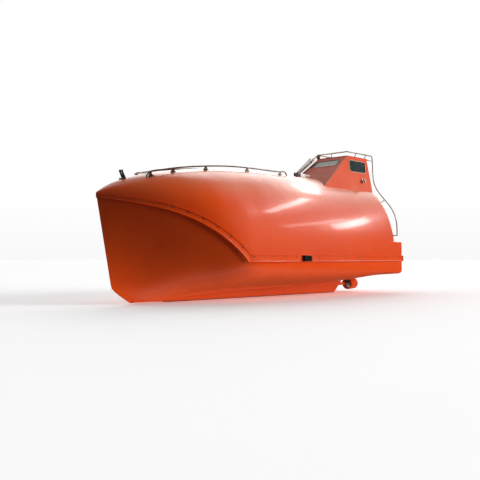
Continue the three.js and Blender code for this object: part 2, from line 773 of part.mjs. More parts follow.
function addTowerRail() {
  const corner = (aft, y) => [X(aft), y, Z(ROOF.z + RAIL_LIFT)];
  const knee = (point) => moved(new THREE.SphereGeometry(TUBE, 8, 6), ...point);
  let rail = rod(corner(RAIL_FRONT, -RAIL_HALF), corner(RAIL_FRONT, RAIL_HALF), TUBE, 8);
  for (const y of [RAIL_HALF, -RAIL_HALF]) {
    rail = rail.add(rod(corner(RAIL_FRONT, y), corner(RAIL_END, y), TUBE, 8));
    rail = rail.add(knee(corner(RAIL_FRONT, y)));
  }
  for (const post of ROOF_POSTS) rail = rail.add(roofPost(post));
  const legTop = corner(RAIL_FRONT, -RAIL_HALF);
  const legBend = [X(LEG.aft), LEG.y, Z(LEG.bend)];
  rail = rail.add(rod(legTop, legBend, TUBE, 8)).add(knee(legBend));
  rail = rail.add(rod(legBend, [X(LEG.aft), LEG.y, Z(LEG.foot)], TUBE, 8));

  // The reflector lies along the leg, held by two clips.
  const along = (t) => legTop.map((v, k) => v + (legBend[k] - v) * t);
  const above = ([x, y, z]) => [x + REFLECTOR.ahead, y + REFLECTOR.out, z + REFLECTOR.up];
  add("reflector_tube", rod(above(along(REFLECTOR.from)), above(along(REFLECTOR.to)), REFLECTOR.radius, 20), WHITE);
  const sleeve = rod(above(along(REFLECTOR.from - 0.02)), above(along(REFLECTOR.to + 0.02)), REFLECTOR.radius + GAP, 20);
  for (const t of [0.24, 0.72]) {
    const clip = rod(along(t), above(along(t)), 9, 8);
    rail = rail.add(clip.subtract(sleeve));
  }
  const clear = rail
    .subtract(canopyOuter.translate([0, 0, GAP]))
    .subtract(towerBody(TOWER_FOOT, ROOF.z, -GAP));
  add("tower_rail", largest(clear), STEEL);
}

// The rail that follows the canopy's after corner down to the deck.
const AFT_RAIL = [
  [6806, 385, 2225],
  [6828, 390, 2198],
  [6832, 420, 1750],
  [6842, 505, 1490],
  [6835, 700, 1260],
  [6815, 880, 1060],
  [6785, 985, 890],
  [6765, 1035, 740],
  [6755, 1050, 560],
  [6755, 1050, 470],
];

// Its short arms: from the rail to the body.
const AFT_ARMS = [
  [[6835, 705, 1254], [6700, 640, 1140]],
  [[6756, 1049, 480], [6650, 930, 480]],
  [[6829, 391, 2118], [6640, 368, 2118]],
];

function addAftRails() {
  const inBoat = ([aft, y, z]) => [X(aft), y, Z(z)];
  let rail = tube(AFT_RAIL.map(inBoat), 11, 28);
  for (const arm of AFT_ARMS) {
    const [a, b] = arm.map(inBoat);
    rail = rail.add(rod(a, b, 9, 8));
  }
  const body = canopyOuter.translate([-GAP, GAP, 0]).add(towerBody(TOWER_FOOT, ROOF.z, -GAP));
  const kept = largest(rail.subtract(body));
  add("aft_rail_port", kept, STEEL);
  add("aft_rail_starboard", kept.mirror([0, 1, 0]), STEEL);
}

// Fittings on the canopy.

const CLEVIS = { aft: 470, footHalf: 75, half: 55, cheek: 12, apart: 28, pin: 11 };

// A clevis of two leaning cheeks with a pin, on a foot that is let into the canopy.
function addTowClevis() {
  const [x, , z] = bodyPoint(CLEVIS.aft, 0, canopyHeight(CLEVIS.aft, 0) - 40);
  let clevis = block([x - CLEVIS.footHalf, -CLEVIS.half, z], [x + CLEVIS.footHalf, CLEVIS.half, z + 46]);
  const side = new THREE.Shape();
  side.moveTo(-50, 0);
  side.lineTo(50, 0);
  side.lineTo(58, 130);
  side.absarc(34, 146, 28, 0, Math.PI);
  side.lineTo(-4, 120);
  side.closePath();
  const cheek = new THREE.ExtrudeGeometry(side, {
    depth: CLEVIS.cheek,
    bevelEnabled: false,
    curveSegments: 6,
  });
  cheek.rotateX(Math.PI / 2);
  for (const y of [-CLEVIS.apart, CLEVIS.apart]) {
    clevis = clevis.add(moved(cheek, x, y + CLEVIS.cheek / 2, z + 30));
  }
  const pinEnd = (y) => [x + 34, y, z + 172];
  clevis = clevis.add(rod(pinEnd(-50), pinEnd(50), CLEVIS.pin, 12));
  const kept = clevis.subtract(canopyOuter.translate([0, 0, GAP]));
  add("bow_tow_clevis", largest(kept), BLACK);
}

// The folding mast: its pin, its length and how far it leans forward from upright.
const MAST = { aft: 4712, z: 1690, length: 575, lean: 36.8 };

function addMast() {
  const [x, z] = [X(MAST.aft), Z(MAST.z)];
  const low = Z(canopyHeight(MAST.aft, 0) - 15);
  let bracket = block([x - 60, -52, low], [x + 60, 52, Z(1628)]);
  for (const y of [-40, 28]) {
    bracket = bracket.add(block([x - 26, y, low], [x + 26, y + 12, z + 24]));
  }
  bracket = bracket.subtract(rod([x, -60, z], [x, 60, z], 8.4, 16));
  bracket = bracket.subtract(canopyOuter.translate([0, 0, GAP]));
  add("mast_bracket", largest(bracket), BLACK);

  const mast = new THREE.Group();
  mast.position.set(x, 0, z);
  mast.rotation.y = -THREE.MathUtils.degToRad(90 - MAST.lean);
  boat.add(mast);
  let pole = rod([0, 0, 0], [0, 0, MAST.length], 11, 12);
  pole = pole.add(rod([0, -20, 0], [0, 20, 0], 19, 16));
  pole = pole.add(rod([0, -46, 0], [0, 46, 0], 8, 16));
  pole = pole.add(rod([0, 0, MAST.length - 60], [0, 0, MAST.length], 15, 12));
  add("mast_pole", pole, STEEL, mast);
}

const LAMP = { front: 4785, aft: 4955, half: 60, top: 1692, radius: 24, y: 20, z: 1670, reach: 140 };

// A box with a cylinder that reaches aft from it.
function addLamp() {
  const box = block([X(LAMP.aft), -LAMP.half, Z(1590)], [X(LAMP.front), LAMP.half, Z(LAMP.top)]);
  const end = (aft) => [X(aft), LAMP.y, Z(LAMP.z)];
  const lamp = box.add(rod(end(LAMP.aft - 20), end(LAMP.aft + LAMP.reach), LAMP.radius, 12));
  const clear = lamp
    .subtract(canopyOuter.translate([0, 0, GAP]))
    .subtract(towerBody(TOWER_FOOT, ROOF.z, -GAP));
  add("canopy_lamp", largest(clear), WHITE);
}

const VENT = { aft: 6327, z: 1632, flange: 38, stem: 18, cap: 25 };

// A flange on the tower's side, a stem out of it and a cap across its end.
function addSideVents() {
  const half = ROOF.half + (ROOF.z - VENT.z) * TOWER_SIDE_LEAN;
  const at = (out, up, ahead = 0) => [X(VENT.aft) + ahead, half + out, Z(VENT.z + up)];
  const vent = rod(at(-6, 0), at(9, 3), VENT.flange, 16)
    .add(rod(at(0, 0), at(52, 12), VENT.stem, 12))
    .add(rod(at(56, -44, -12), at(40, 48, 16), VENT.cap, 12))
    .subtract(towerBody(TOWER_FOOT, ROOF.z, -GAP));
  add("side_vent_port", largest(vent), STEEL);
  add("side_vent_starboard", largest(vent).mirror([0, 1, 0]), STEEL);
}

const LUG = { z: -190, reach: 60, outer: 48, eye: 22, thick: 24, half: 70 };

// A plate with an eye, standing out from the transom on a base plate.
function addReleaseLug() {
  const side = new THREE.Shape();
  side.moveTo(0, -LUG.half);
  side.lineTo(40, -LUG.half);
  side.absarc(LUG.reach, 0, LUG.outer, -Math.PI / 2, Math.PI / 2);
  side.lineTo(0, LUG.half);
  side.closePath();
  const plate = new THREE.ExtrudeGeometry(side, {
    depth: LUG.thick,
    bevelEnabled: false,
    curveSegments: 8,
  });
  plate.rotateX(Math.PI / 2).rotateZ(Math.PI).translate(0, -LUG.thick / 2, 0);
  const x = X(LENGTH) - 10;
  const z = Z(LUG.z);
  const back = block([x - 2, -LUG.half, z - 95], [X(LENGTH) - GAP, LUG.half, z + 95]);
  const eye = rod([x - LUG.reach - 2, -40, z], [x - LUG.reach - 2, 40, z], LUG.eye, 16);
  add("release_lug", back.add(moved(plate, x, 0, z)).subtract(eye), STEEL);
}

// The after door, hung on the trunk's starboard edge.

const DOOR = { half: 350, low: 385, high: 1285, thick: 45, gap: 6 };
const HINGE = { y: -372, aft: 6932 };

const HINGES = [
  ["lower", 560],
  ["upper", 1110],
];

// The knuckle on the trunk that a hinge's pin ends under.
function doorKnuckle(level) {
  const [low, high] = [Z(level + 63), Z(level + 100)];
  const [face, pin] = [X(TRUNK.aft), X(HINGE.aft)];
  const plate = block([face - 8, HINGE.y - 60, low], [face - GAP, HINGE.y + 14, high]);
  return plate.add(block([pin - 12, HINGE.y - 14, low], [face - GAP, HINGE.y + 14, high]));
}

function addDoor() {
  const door = new THREE.Group();
  door.position.set(X(HINGE.aft), HINGE.y, Z(0));
  boat.add(door);
  const near = HINGE.aft - TRUNK.aft - DOOR.gap;
  const far = near - DOOR.thick;
  const height = DOOR.high - DOOR.low;
  const outline = roundedOutline(DOOR.half, DOOR.half, height, 70);
  const slab = new THREE.ExtrudeGeometry(outline, {
    depth: DOOR.thick,
    bevelEnabled: false,
    curveSegments: 4,
  });
  slab.rotateX(Math.PI / 2).rotateZ(Math.PI / 2);
  slab.translate(far, -HINGE.y, (DOOR.low + DOOR.high) / 2);
  const size = new THREE.Box3().setFromBufferAttribute(slab.getAttribute("position"));
  slab.translate(far - size.min.x, 0, 0);
  add("door_panel", solid(slab), GRP, door);

  for (const [name, level] of HINGES) {
    const hinge = rod([0, 0, level - 60], [0, 0, level + 60], 11, 12)
      .add(block([far - 9, 0, level - 28], [far - GAP, 190, level + 28]))
      .add(block([far - 9, -10, level - 28], [4, 10, level + 28]));
    add(`door_hinge_${name}`, hinge, STEEL, door);
    add(`door_knuckle_${name}`, doorKnuckle(level), STEEL);
  }

  const y = 2 * DOOR.half - 45;
  const handle = rod([far - GAP, y, 840], [far - 34, y, 840], 16, 12)
    .add(block([far - 34, y - 14, 690], [far - 22, y + 14, 856]))
    .add(rod([far - GAP, y, 840], [far - 8, y, 840], 30, 16));
  add("door_handle", handle, STEEL, door);
}

// Screw, shaft and steering nozzle.

const BLADES = 4;
const BLADE_TIP = 74; // clears the nozzle's liner by 13

function addDrive() {
  const [front, end] = [X(STERN_TUBE.from), X(STERN_TUBE.aft)];
  const outside = rod([front, 0, Z(SHAFT_Z)], [end, 0, Z(SHAFT_Z)], STERN_TUBE.radius, 16);
  const bore = rod([front + 1, 0, Z(SHAFT_Z)], [end - 1, 0, Z(SHAFT_Z)], STERN_TUBE.bore, 24);
  const sternTube = outside.subtract(bore);
  add("stern_tube", sternTube, GRP);

  const screw = new THREE.Group();
  screw.position.set(X(SCREW_AFT), 0, Z(SHAFT_Z));
  boat.add(screw);
  add("propeller_shaft", rod([800, 0, 0], [24 + GAP, 0, 0], 15, 16), STEEL, screw);
  let wheel = rod([24, 0, 0], [-24, 0, 0], 25, 20);
  const nose = new THREE.ConeGeometry(24, 34, 20).rotateZ(Math.PI / 2);
  wheel = wheel.add(moved(nose, -40, 0, 0));
  for (let k = 0; k < BLADES; k++) wheel = wheel.add(blade((2 * Math.PI * k) / BLADES));
  add("propeller", wheel, BRONZE, screw);
}

// One twisted blade: its sections turn flatter towards the tip.
function blade(turn) {
  const root = 16;
  const steps = 5;
  const rings = [];
  for (let k = 0; k <= steps; k++) {
    const t = k / steps;
    const radius = root + (BLADE_TIP - root) * t;
    const pitch = THREE.MathUtils.degToRad(62 - 36 * t);
    const chord = BLADE_TIP * (0.24 + 0.31 * Math.sin(Math.PI * (0.12 + 0.72 * t)));
    const thick = 4.5 - 3 * t;
    const ring = [
      [-chord / 2, 0],
      [0, -thick],
      [chord / 2, 0],
      [0, thick],
    ].map(([c, n]) => {
      const x = c * Math.cos(pitch + 0.5) * 0.62 - n * Math.sin(pitch);
      const y = c * Math.sin(pitch) * 0.9 + n * Math.cos(pitch);
      return new THREE.Vector3(x, y, radius)
        .applyAxisAngle(new THREE.Vector3(1, 0, 0), turn)
        .toArray();
    });
    rings.push(ring);
  }
  return ringLoft(rings);
}

function addNozzle() {
  const nozzle = new THREE.Group();
  nozzle.position.set(X(SCREW_AFT), 0, Z(SHAFT_Z));
  boat.add(nozzle);
  const front = SCREW_AFT - NOZZLE.front;
  const aft = SCREW_AFT - NOZZLE.aft;
  // Half section of the ring: flared lips, a straight throat and a tapering outside.
  const profile = [
    [NOZZLE.inner + 14, front],
    [NOZZLE.inner, front - 60],
    [NOZZLE.inner, aft + 30],
    [NOZZLE.inner + 6, aft],
    [NOZZLE.outer - 14, aft],
    [NOZZLE.outer, front - 50],
    [NOZZLE.outer - 6, front - 8],
    [NOZZLE.inner + 14, front],
  ].map(([r, x]) => new THREE.Vector2(r, x));
  const ring = new THREE.LatheGeometry(profile, 36);
  ring.rotateZ(-Math.PI / 2);
  const made = solid(ring);
  const ringSolid = made.volume() > 0 ? made : solid(ring.scale(-1, 1, 1));
  const throat = [
    [NOZZLE.inner - LINER, front - 62],
    [NOZZLE.inner - LINER, aft + 32],
    [NOZZLE.inner - GAP, aft + 32],
    [NOZZLE.inner - GAP, front - 62],
    [NOZZLE.inner - LINER, front - 62],
  ].map(([r, x]) => new THREE.Vector2(r, x));
  const band = solid(new THREE.LatheGeometry(throat, 36).rotateZ(-Math.PI / 2));
  add("nozzle_liner", band, STEEL, nozzle);
  const pad = block([-40, -30, NOZZLE.outer - 14], [40, 30, NOZZLE.outer + 4]);
  const keepOut = rod([front + 5, 0, 0], [aft - 5, 0, 0], NOZZLE.inner + 20, 36);
  add("steering_nozzle", ringSolid.add(pad.subtract(keepOut)), GRP, nozzle);
  add("nozzle_stock", rod([0, 0, NOZZLE.outer + 4 + GAP], [0, 0, 520], 22, 16), STEEL, nozzle);
}

// What is inside: the engine as one block, and the helm that shows through the tower's windows.

function addInside() {
  add("engine_block", block([X(5750), -280, Z(-290)], [X(4950), 280, Z(260)]), GREY);
  let seat = block([X(6420), -190, Z(1120)], [X(6020), 190, Z(1190)]);
  seat = seat.add(block([X(6470), -180, Z(1120)], [X(6400), 180, Z(1640)]));
  seat = seat.add(rod([X(6220), 0, Z(660)], [X(6220), 0, Z(1130)], 40, 12));
  add("helm_seat", seat, BLACK);
  let consoleBox = block([X(5620), -230, Z(1180)], [X(5470), 230, Z(1560)]);
  consoleBox = consoleBox.add(block([X(5600), -60, Z(760)], [X(5500), 60, Z(1190)]));
  add("helm_console", consoleBox, GREY);
  const rim = new THREE.TorusGeometry(130, 10, 8, 24).rotateY(Math.PI / 2);
  let wheel = moved(rim, X(5670), 0, Z(1440));
  wheel = wheel.add(rod([X(5620) - GAP, 0, Z(1440)], [X(5678), 0, Z(1440)], 22, 12));
  for (let k = 0; k < 3; k++) {
    const angle = (2 * Math.PI * k) / 3 + Math.PI / 2;
    const end = [X(5670), 130 * Math.cos(angle), Z(1440) + 130 * Math.sin(angle)];
    wheel = wheel.add(rod([X(5670), 0, Z(1440)], end, 8, 8));
  }
  add("helm_wheel", wheel, BLACK);
}

addHull();
addCanopy();
addTower();
addKeel();
addFender();
addSideStops();
addGrabRails();
addTowerRail();
addAftRails();
addTowClevis();
addMast();
addLamp();
addSideVents();
addReleaseLug();
addDoor();
addDrive();
addNozzle();
addInside();

export default boat;
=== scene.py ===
import bmesh
import bpy
import numpy as np
from bpy.props import FloatProperty, FloatVectorProperty, PointerProperty
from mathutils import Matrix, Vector


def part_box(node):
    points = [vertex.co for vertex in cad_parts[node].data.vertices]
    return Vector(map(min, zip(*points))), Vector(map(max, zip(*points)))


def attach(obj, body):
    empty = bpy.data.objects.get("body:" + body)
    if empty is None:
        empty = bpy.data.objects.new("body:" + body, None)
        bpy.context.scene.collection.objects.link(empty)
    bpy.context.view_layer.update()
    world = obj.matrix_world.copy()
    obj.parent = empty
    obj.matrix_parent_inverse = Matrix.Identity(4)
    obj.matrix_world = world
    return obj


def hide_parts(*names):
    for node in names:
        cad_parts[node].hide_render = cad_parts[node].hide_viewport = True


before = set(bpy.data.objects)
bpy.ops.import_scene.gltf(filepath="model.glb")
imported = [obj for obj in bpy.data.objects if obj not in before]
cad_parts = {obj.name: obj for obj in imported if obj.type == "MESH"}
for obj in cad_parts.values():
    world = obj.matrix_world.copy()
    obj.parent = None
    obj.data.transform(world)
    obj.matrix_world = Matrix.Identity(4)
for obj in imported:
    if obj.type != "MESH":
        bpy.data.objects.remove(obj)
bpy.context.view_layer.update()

bl_info = {
    "name": "Enclosed lifeboat",
    "version": (1, 0, 0),
    "blender": (4, 5, 0),
    "location": "3D View > Sidebar > Lifeboat",
    "description": "Detailed pieces, materials and stage for an enclosed free-fall lifeboat",
    "category": "Object",
}

MM = 0.001
TAU = 2 * np.pi
QUARTER = np.pi / 2
FORWARD = (1, 0, 0)
AFTWARD = (-1, 0, 0)
TO_PORT = (0, 1, 0)
UPWARD = (0, 0, 1)

# The boat's lines, as in the CAD source.
LENGTH = 7000
FENDER_Z = 150
GAP = 0.3
SWEEP_END = 2080
STEM_RISE = 950
SWEEP_SLOPE = 0.33
SWEEP_POWER = 2.85
EASE_START = 1750
STEM_SLOPE = 0.197
STEM_TOP = 905
FOREFOOT_TOP = -454
FOREFOOT_REACH = 310
FOREFOOT_POWER = 1.3
KEEL_BOTTOM = -700
STEM_FADE = 1800
DOME_START = 6480
DOME_END = 6881
DOME_POWER = 5.5
DOME_PLAN_POWER = 4.1
AFT_DECK = 350
UPRIGHT = 12
UP = 2.1
WALL = 70

# Columns: distance aft, half breadth, ridge height, bottom height, and the powers of the hull's section
# across and up and of the canopy's across.
STATIONS = np.array([
    [0, 0, 990, -700, 1.0, 1.0, 2.0],
    [150, 140, 1075, -700, 1.02, 1.02, 2.0],
    [350, 313, 1173, -700, 1.06, 1.08, 2.0],
    [650, 546, 1281, -700, 1.15, 1.2, 2.0],
    [1050, 802, 1383, -688, 1.3, 1.45, 2.0],
    [1500, 1017, 1462, -642, 1.45, 1.8, 2.0],
    [2080, 1175, 1540, -580, 1.58, 2.3, 2.0],
    [2400, 1196, 1568, -560, 1.6, 2.45, 2.0],
    [2850, 1201, 1594, -542, 1.63, 2.65, 2.0],
    [3500, 1200, 1612, -530, 1.8, 2.9, 1.97],
    [4400, 1195, 1620, -512, 2.0, 3.1, 1.82],
    [5200, 1165, 1622, -478, 2.5, 3.6, 1.74],
    [5660, 1137, 1623, -436, 3.0, 4.2, 1.79],
    [6070, 1100, 1623, -382, 4.0, 6.0, 1.88],
    [6500, 1058, 1621, -350, 6.5, 8.5, 2.0],
    [7000, 1018, 1611, -332, 12.0, 14.0, 2.02],
])

ROOF = {"z": 2137, "front": 5905, "aft": 6650, "half": 380}
TOWER_SLOPE = 0.743
TOWER_LEAN = 0.21
TOWER_FOOT = 1150
TOWER_WALL = 45
TRUNK = {"from": 6450, "aft": 6900, "half": 430, "top": 1330}
DOORWAY = {"half": 300, "sill": 425, "head": 1240}
WELL = {"from": 5400, "aft": 6560, "half": 400}
SHAFT_Z = -540
SCREW_AFT = 6550
NOZZLE = {"front": 6420, "aft": 6686, "outer": 128, "inner": 92}
BLADE_TIP = 74
FIRST_SCREW = 0.78  # The angle of the first of four screws round a base.


def X(aft):
    return LENGTH / 2 - aft


def Z(height):
    return FENDER_Z + height


def linear(code):
    """An sRGB hex colour as linear RGBA: each channel's usual curve, undone."""
    value = np.array([int(code[i : i + 2], 16) for i in (0, 2, 4)]) / 255
    lit = np.where(value > 0.04045, ((value + 0.055) / 1.055) ** 2.4, value / 12.92)
    return (*lit.tolist(), 1.0)


# What a user would change.


def length(name, description, default):
    return FloatProperty(name=name, description=description, default=default, min=0,
                         unit="LENGTH", subtype="DISTANCE", precision=4)


def colour(name, description, code):
    return FloatVectorProperty(name=name, description=description, default=linear(code),
                               size=4, min=0, max=1, subtype="COLOR")


class LIFEBOAT_PG_sizes(bpy.types.PropertyGroup):
    """Sizes that don't change the boat's outline."""

    bolt_radius: length("Bolt radius", "Of the fender's bolt heads", 0.009)
    lip: length("Fender lip", "How far the fender's two lips stand out from its face", 0.007)
    edge: length("Moulded edge", "Radius of the laminate's outer edges", 0.024)
    transom: length("Transom edge", "Radius of the transom's edge", 0.012)
    stem: length("Stem radius", "Of the rounded stem", 0.012)
    fillet: length("Keel fillet", "Between the keel's sides and the hull's bottom", 0.07)
    camber: length("Roof camber", "Rise of the tower's roof to its middle", 0.012)
    wave: length("Laminate waves", "Height of the laminate's slow waves", 0.004)
    floor: length("Floor", "How far the floor lies below the waterline", -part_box("keel_shoe")[0].z)


class LIFEBOAT_PG_finishes(bpy.types.PropertyGroup):
    """Colours of the finishes."""

    orange: colour("Orange gelcoat", "Hull, canopy and tower", "e84e12")
    # The paler tone on top: partly bleached gelcoat, partly a painted reflection of the sky.
    faded_and_reflection: colour("Faded gelcoat", "Where sun and rain reach it most", "cd8a5c")
    # Paler than the orange: partly a dull gritted finish, partly painted sky light on faces that look up.
    textured_and_skylit: colour("Textured gelcoat", "The tower's front and the after deck", "de7c68")
    steel: colour("Stainless steel", "Rails and fittings", "a59d92")
    black: colour("Black paint", "Bow clevis, mast bracket and black plastic", "1c1b1a")
    rubber: colour("Rubber", "Window gaskets, seals and stop blocks", "17181a")
    acrylic: colour("Acrylic", "Window panes", "31413f")
    white: colour("White plastic", "Lamp, radar reflector and side vents", "dcdad0")
    bronze: colour("Bronze", "Propeller", "9c7436")
    grey: colour("Grey paint", "Engine and helm console", "6f736f")
    floor: colour("Floor", "The studio's floor", "fafafa")


def sizes():
    return bpy.context.scene.lifeboat_sizes


def finishes():
    return bpy.context.scene.lifeboat_finishes


# Shapes: each is its points, in rows of three, and its faces, as lists of point numbers.


def unit(v):
    v = np.asarray(v, float)
    return v / np.linalg.norm(v, axis=-1, keepdims=True)


def points_of(x, y, z):
    """Points from their coordinates, which are spread over one another's rows and columns."""
    return np.stack(np.broadcast_arrays(x, y, z), -1)


def at_height(outline, height):
    """A flat outline as points at one height."""
    return np.column_stack([outline, np.full(len(outline), height)])


def spline(x, y):
    """A natural cubic spline through points. Its second slopes solve the three-term equations, and are
    nothing at the ends."""
    x, y = np.asarray(x, float), np.asarray(y, float)
    gap = np.diff(x)
    inner = np.arange(1, len(x) - 1)
    system = np.eye(len(x))
    system[inner, inner - 1] = gap[:-1]
    system[inner, inner] = 2 * (gap[:-1] + gap[1:])
    system[inner, inner + 1] = gap[1:]
    turn = np.zeros(len(x))
    turn[1:-1] = 6 * np.diff(np.diff(y) / gap)
    bend = np.linalg.solve(system, turn)

    def at(place):
        place = np.clip(place, x[0], x[-1])
        i = np.clip(np.searchsorted(x, place, side="right") - 1, 0, len(x) - 2)
        b = (place - x[i]) / gap[i]
        a = 1 - b
        curve = (a**3 - a) * bend[i] + (b**3 - b) * bend[i + 1]
        return a * y[i] + b * y[i + 1] + curve * gap[i] ** 2 / 6

    return at


def grid(rows, around=True, start=True, end=True):
    """A surface through rows of points: a face between each two neighbours in both directions.
    With around, each row's last point joins its first; start and end close the first and last row."""
    rows = np.asarray(rows, float)
    index = np.arange(rows.shape[0] * rows.shape[1]).reshape(rows.shape[:2])
    beside = np.roll(index, -1, axis=1)
    first, last = index[0][::-1].tolist(), index[-1].tolist()
    if not around:
        index, beside = index[:, :-1], beside[:, :-1]
    faces = np.stack([index[:-1], beside[:-1], beside[1:], index[1:]], -1).reshape(-1, 4).tolist()
    faces += [first] * start + [last] * end
    return rows.reshape(-1, 3), faces


def joined(*shapes):
    """Several shapes as one: each one's point numbers count on from the last one's."""
    counts = np.cumsum([0] + [len(points) for points, _ in shapes])
    faces = [[i + n for i in face] for (_, part), n in zip(shapes, counts) for face in part]
    return np.concatenate([points for points, _ in shapes]), faces


def placed(shape, origin=(0, 0, 0), z=(0, 0, 1), x=None):
    """A shape whose own Z axis is laid along z, its X axis towards x, and its origin at origin."""
    z = unit(z)
    guess = np.array(x if x is not None else ((1, 0, 0) if abs(z[0]) < 0.9 else (0, 1, 0)), float)
    x = unit(guess - z * (guess @ z))
    return shape[0] @ np.stack([x, np.cross(z, x), z]) + np.asarray(origin, float), shape[1]


def mirrored(shape):
    return shape[0] * (1, -1, 1), shape[1]


SIDES = (("port", lambda shape: shape), ("starboard", mirrored))


def both_sides(shape):
    return joined(shape, mirrored(shape))


def turned(profile, sides=28):
    """A lathe shape round the Z axis: each profile point is a radius and a height."""
    radius, height = np.array(profile, float).T[:, :, None]
    angle = np.linspace(0, TAU, sides, endpoint=False)
    rows = points_of(radius * np.cos(angle), radius * np.sin(angle), height)
    return grid(rows, start=False, end=False)


def rim(radius, edge, height=0.0, count=4):
    """A lathe profile's rounded rim: a quarter circle of radius edge, from the face out to the side."""
    arc = np.linspace(0, QUARTER, count)
    return np.stack([radius - edge + edge * np.sin(arc), height + edge * (1 - np.cos(arc))], -1)


def disc(radius, height, edge, sides=24):
    """A round bar along Z from 0 to height, with rounded rims."""
    low = rim(radius, edge)
    high = (low * (1, -1) + (0, height))[::-1]
    return turned(np.concatenate([[[0, 0]], low, high, [[0, height]]]), sides)


def rod(start, end, radius, edge=None, sides=20):
    """A round bar between two points, with rounded rims."""
    along = np.subtract(end, start)
    reach = np.linalg.norm(along)
    edge = min(0.25 * radius, 0.3 * reach) if edge is None else edge
    return placed(disc(radius, reach, edge, sides), start, along)


def collar(outer, inner, low, high, edge=1.5, sides=28):
    """A ring round Z between two radii and two heights; the profile is a rectangle with cut corners."""
    profile = [
        (inner, low), (outer - edge, low), (outer, low + edge), (outer, high - edge),
        (outer - edge, high), (inner + edge, high), (inner, high - edge), (inner, low),
    ]
    return turned(profile, sides)


def curve(points, count):
    """A smooth line through points: a spline of each coordinate over the summed square roots of the gaps."""
    points = np.asarray(points, float)
    gaps = np.sqrt(np.linalg.norm(np.diff(points, axis=0), axis=1))
    place = np.concatenate([[0], np.cumsum(gaps)])
    at = np.linspace(0, place[-1], count)
    return np.stack([spline(place, column)(at) for column in points.T], -1)


def bent(start, corner, end, count=5):
    """Parabolas between rows of points, each pulled towards its corner."""
    t = np.linspace(0, 1, count)[None, :, None]
    return (1 - t) ** 2 * start[:, None] + 2 * t * (1 - t) * corner[:, None] + t**2 * end[:, None]


def route(corners, bend, count=7):
    """Straight runs with rounded corners: each gives way to a parabola that begins and ends bend away."""
    corners = np.asarray(corners, float)
    before, corner, after = corners[:-2], corners[1:-1], corners[2:]
    start = corner + bend * unit(before - corner)
    end = corner + bend * unit(after - corner)
    return np.concatenate([corners[:1], *bent(start, corner, end, count), corners[-1:]])


def tube(line, radius, sides=14):
    """A round tube along a line of points: a circle square to the line at each, closed by shallow domes."""
    line = np.asarray(line, float)
    along = unit(np.gradient(line, axis=0))
    arc = np.linspace(0, QUARTER, 4)[:, None]
    inset = 0.3 * radius * (1 - np.cos(arc))
    ends = (line[0] + along[0] * inset, (line[-1] - along[-1] * inset)[::-1])
    middle = np.concatenate([ends[0], line[1:-1], ends[1]])
    along = np.concatenate([along[:1].repeat(4, 0), along[1:-1], along[-1:].repeat(4, 0)])
    size = radius * np.concatenate([np.sin(arc), np.ones((len(line) - 2, 1)), np.sin(arc)[::-1]])
    axis = np.eye(3)[np.abs(along).max(0).argmin()]
    side = unit(np.cross(along, axis))
    up = np.cross(side, along)
    angle = np.linspace(0, TAU, sides, endpoint=False)[:, None]
    circle = np.cos(angle) * side[:, None] + np.sin(angle) * up[:, None]
    rows = middle[:, None] + size[:, None] * circle
    return grid(rows, start=False, end=False)


def block(low, high, edge=3):
    """A box with rounded edges: each direction of a sphere is added to the inner corner on its side."""
    low, high = np.asarray(low, float), np.asarray(high, float)
    quarter = np.linspace(0, QUARTER, 4)
    north = np.concatenate([quarter - QUARTER, quarter])[:, None]
    east = np.concatenate([quarter + k * QUARTER for k in range(4)])[None]
    way = points_of(np.cos(north) * np.cos(east), np.cos(north) * np.sin(east), np.sin(north))
    sign = points_of(np.repeat([1, -1, -1, 1], 4)[None], np.repeat([1, 1, -1, -1], 4)[None],
                     np.repeat([-1, 1], 4)[:, None])
    return grid((low + high) / 2 + sign * ((high - low) / 2 - edge) + edge * way)


def slab(aft, half, heights, edge):
    """A box with rounded edges across the centre plane, between two distances aft and two heights."""
    return block((X(aft[1]), -half, Z(heights[0])), (X(aft[0]), half, Z(heights[1])), edge)


def shrunk(outline, inset):
    """A closed outline, drawn anticlockwise, moved inwards: each point goes along its two edges' normals."""
    ahead = unit(np.roll(outline, -1, axis=0) - outline)
    behind = np.roll(ahead, 1, axis=0)
    total = (ahead + behind) @ np.array([[0, -1], [1, 0]])
    return outline - inset * total / (1 + (ahead * behind).sum(-1, keepdims=True))


def plate(outline, low, high, edge=2):
    """A flat plate over the XY plane from low to high: its rims are quarter circles of radius edge."""
    arc = np.linspace(0, QUARTER, 4)
    inset = edge * (1 - np.sin(arc))
    lift = edge * (1 - np.cos(arc))
    heights = np.concatenate([low + lift, (high - lift)[::-1]])
    outline = np.asarray(outline, float)
    insets = np.concatenate([inset, inset[::-1]])
    return grid([at_height(shrunk(outline, i), z) for i, z in zip(insets, heights)])


def rounded(corners, radius, count=6):
    """A closed outline with rounded corners, which give way to parabolas that begin and end radius away."""
    corners = np.asarray(corners, float)
    radius = np.broadcast_to(radius, len(corners))[:, None]
    start = corners + radius * unit(np.roll(corners, 1, axis=0) - corners)
    end = corners + radius * unit(np.roll(corners, -1, axis=0) - corners)
    return bent(start, corners, end, count).reshape(-1, 2)


def oblong(across, up):
    """The corners of a rectangle round the origin, from its half sizes."""
    return [(-across, -up), (across, -up), (across, up), (-across, up)]


def arc(centre, radius, start, end, count=12):
    """Points of a circle between two angles in degrees."""
    angle = np.radians(np.linspace(start, end, count))
    return np.stack([centre[0] + radius * np.cos(angle), centre[1] + radius * np.sin(angle)], -1)


def bead(outline, profile):
    """A bar that follows a closed outline: each profile point is how far it lies outside, and its height."""
    rows = [at_height(shrunk(outline, -out), z) for out, z in [*profile, profile[0]]]
    return grid(rows, start=False, end=False)


def bolt(radius, sides=12):
    """A washer and a domed head above it, turned round Z, let in by 2 mm."""
    washer = 1.6 * radius
    turn = np.linspace(0, QUARTER, 5)[:-1]
    head = np.column_stack([np.cos(turn) * radius, 0.28 * radius + np.sin(turn) * 0.62 * radius])
    foot = [(0, -2), (washer, -2), (washer, 0.12 * radius), (0.93 * washer, 0.22 * radius),
            (radius, 0.24 * radius)]
    return turned([*foot, *head, (0, 0.9 * radius)], sides)


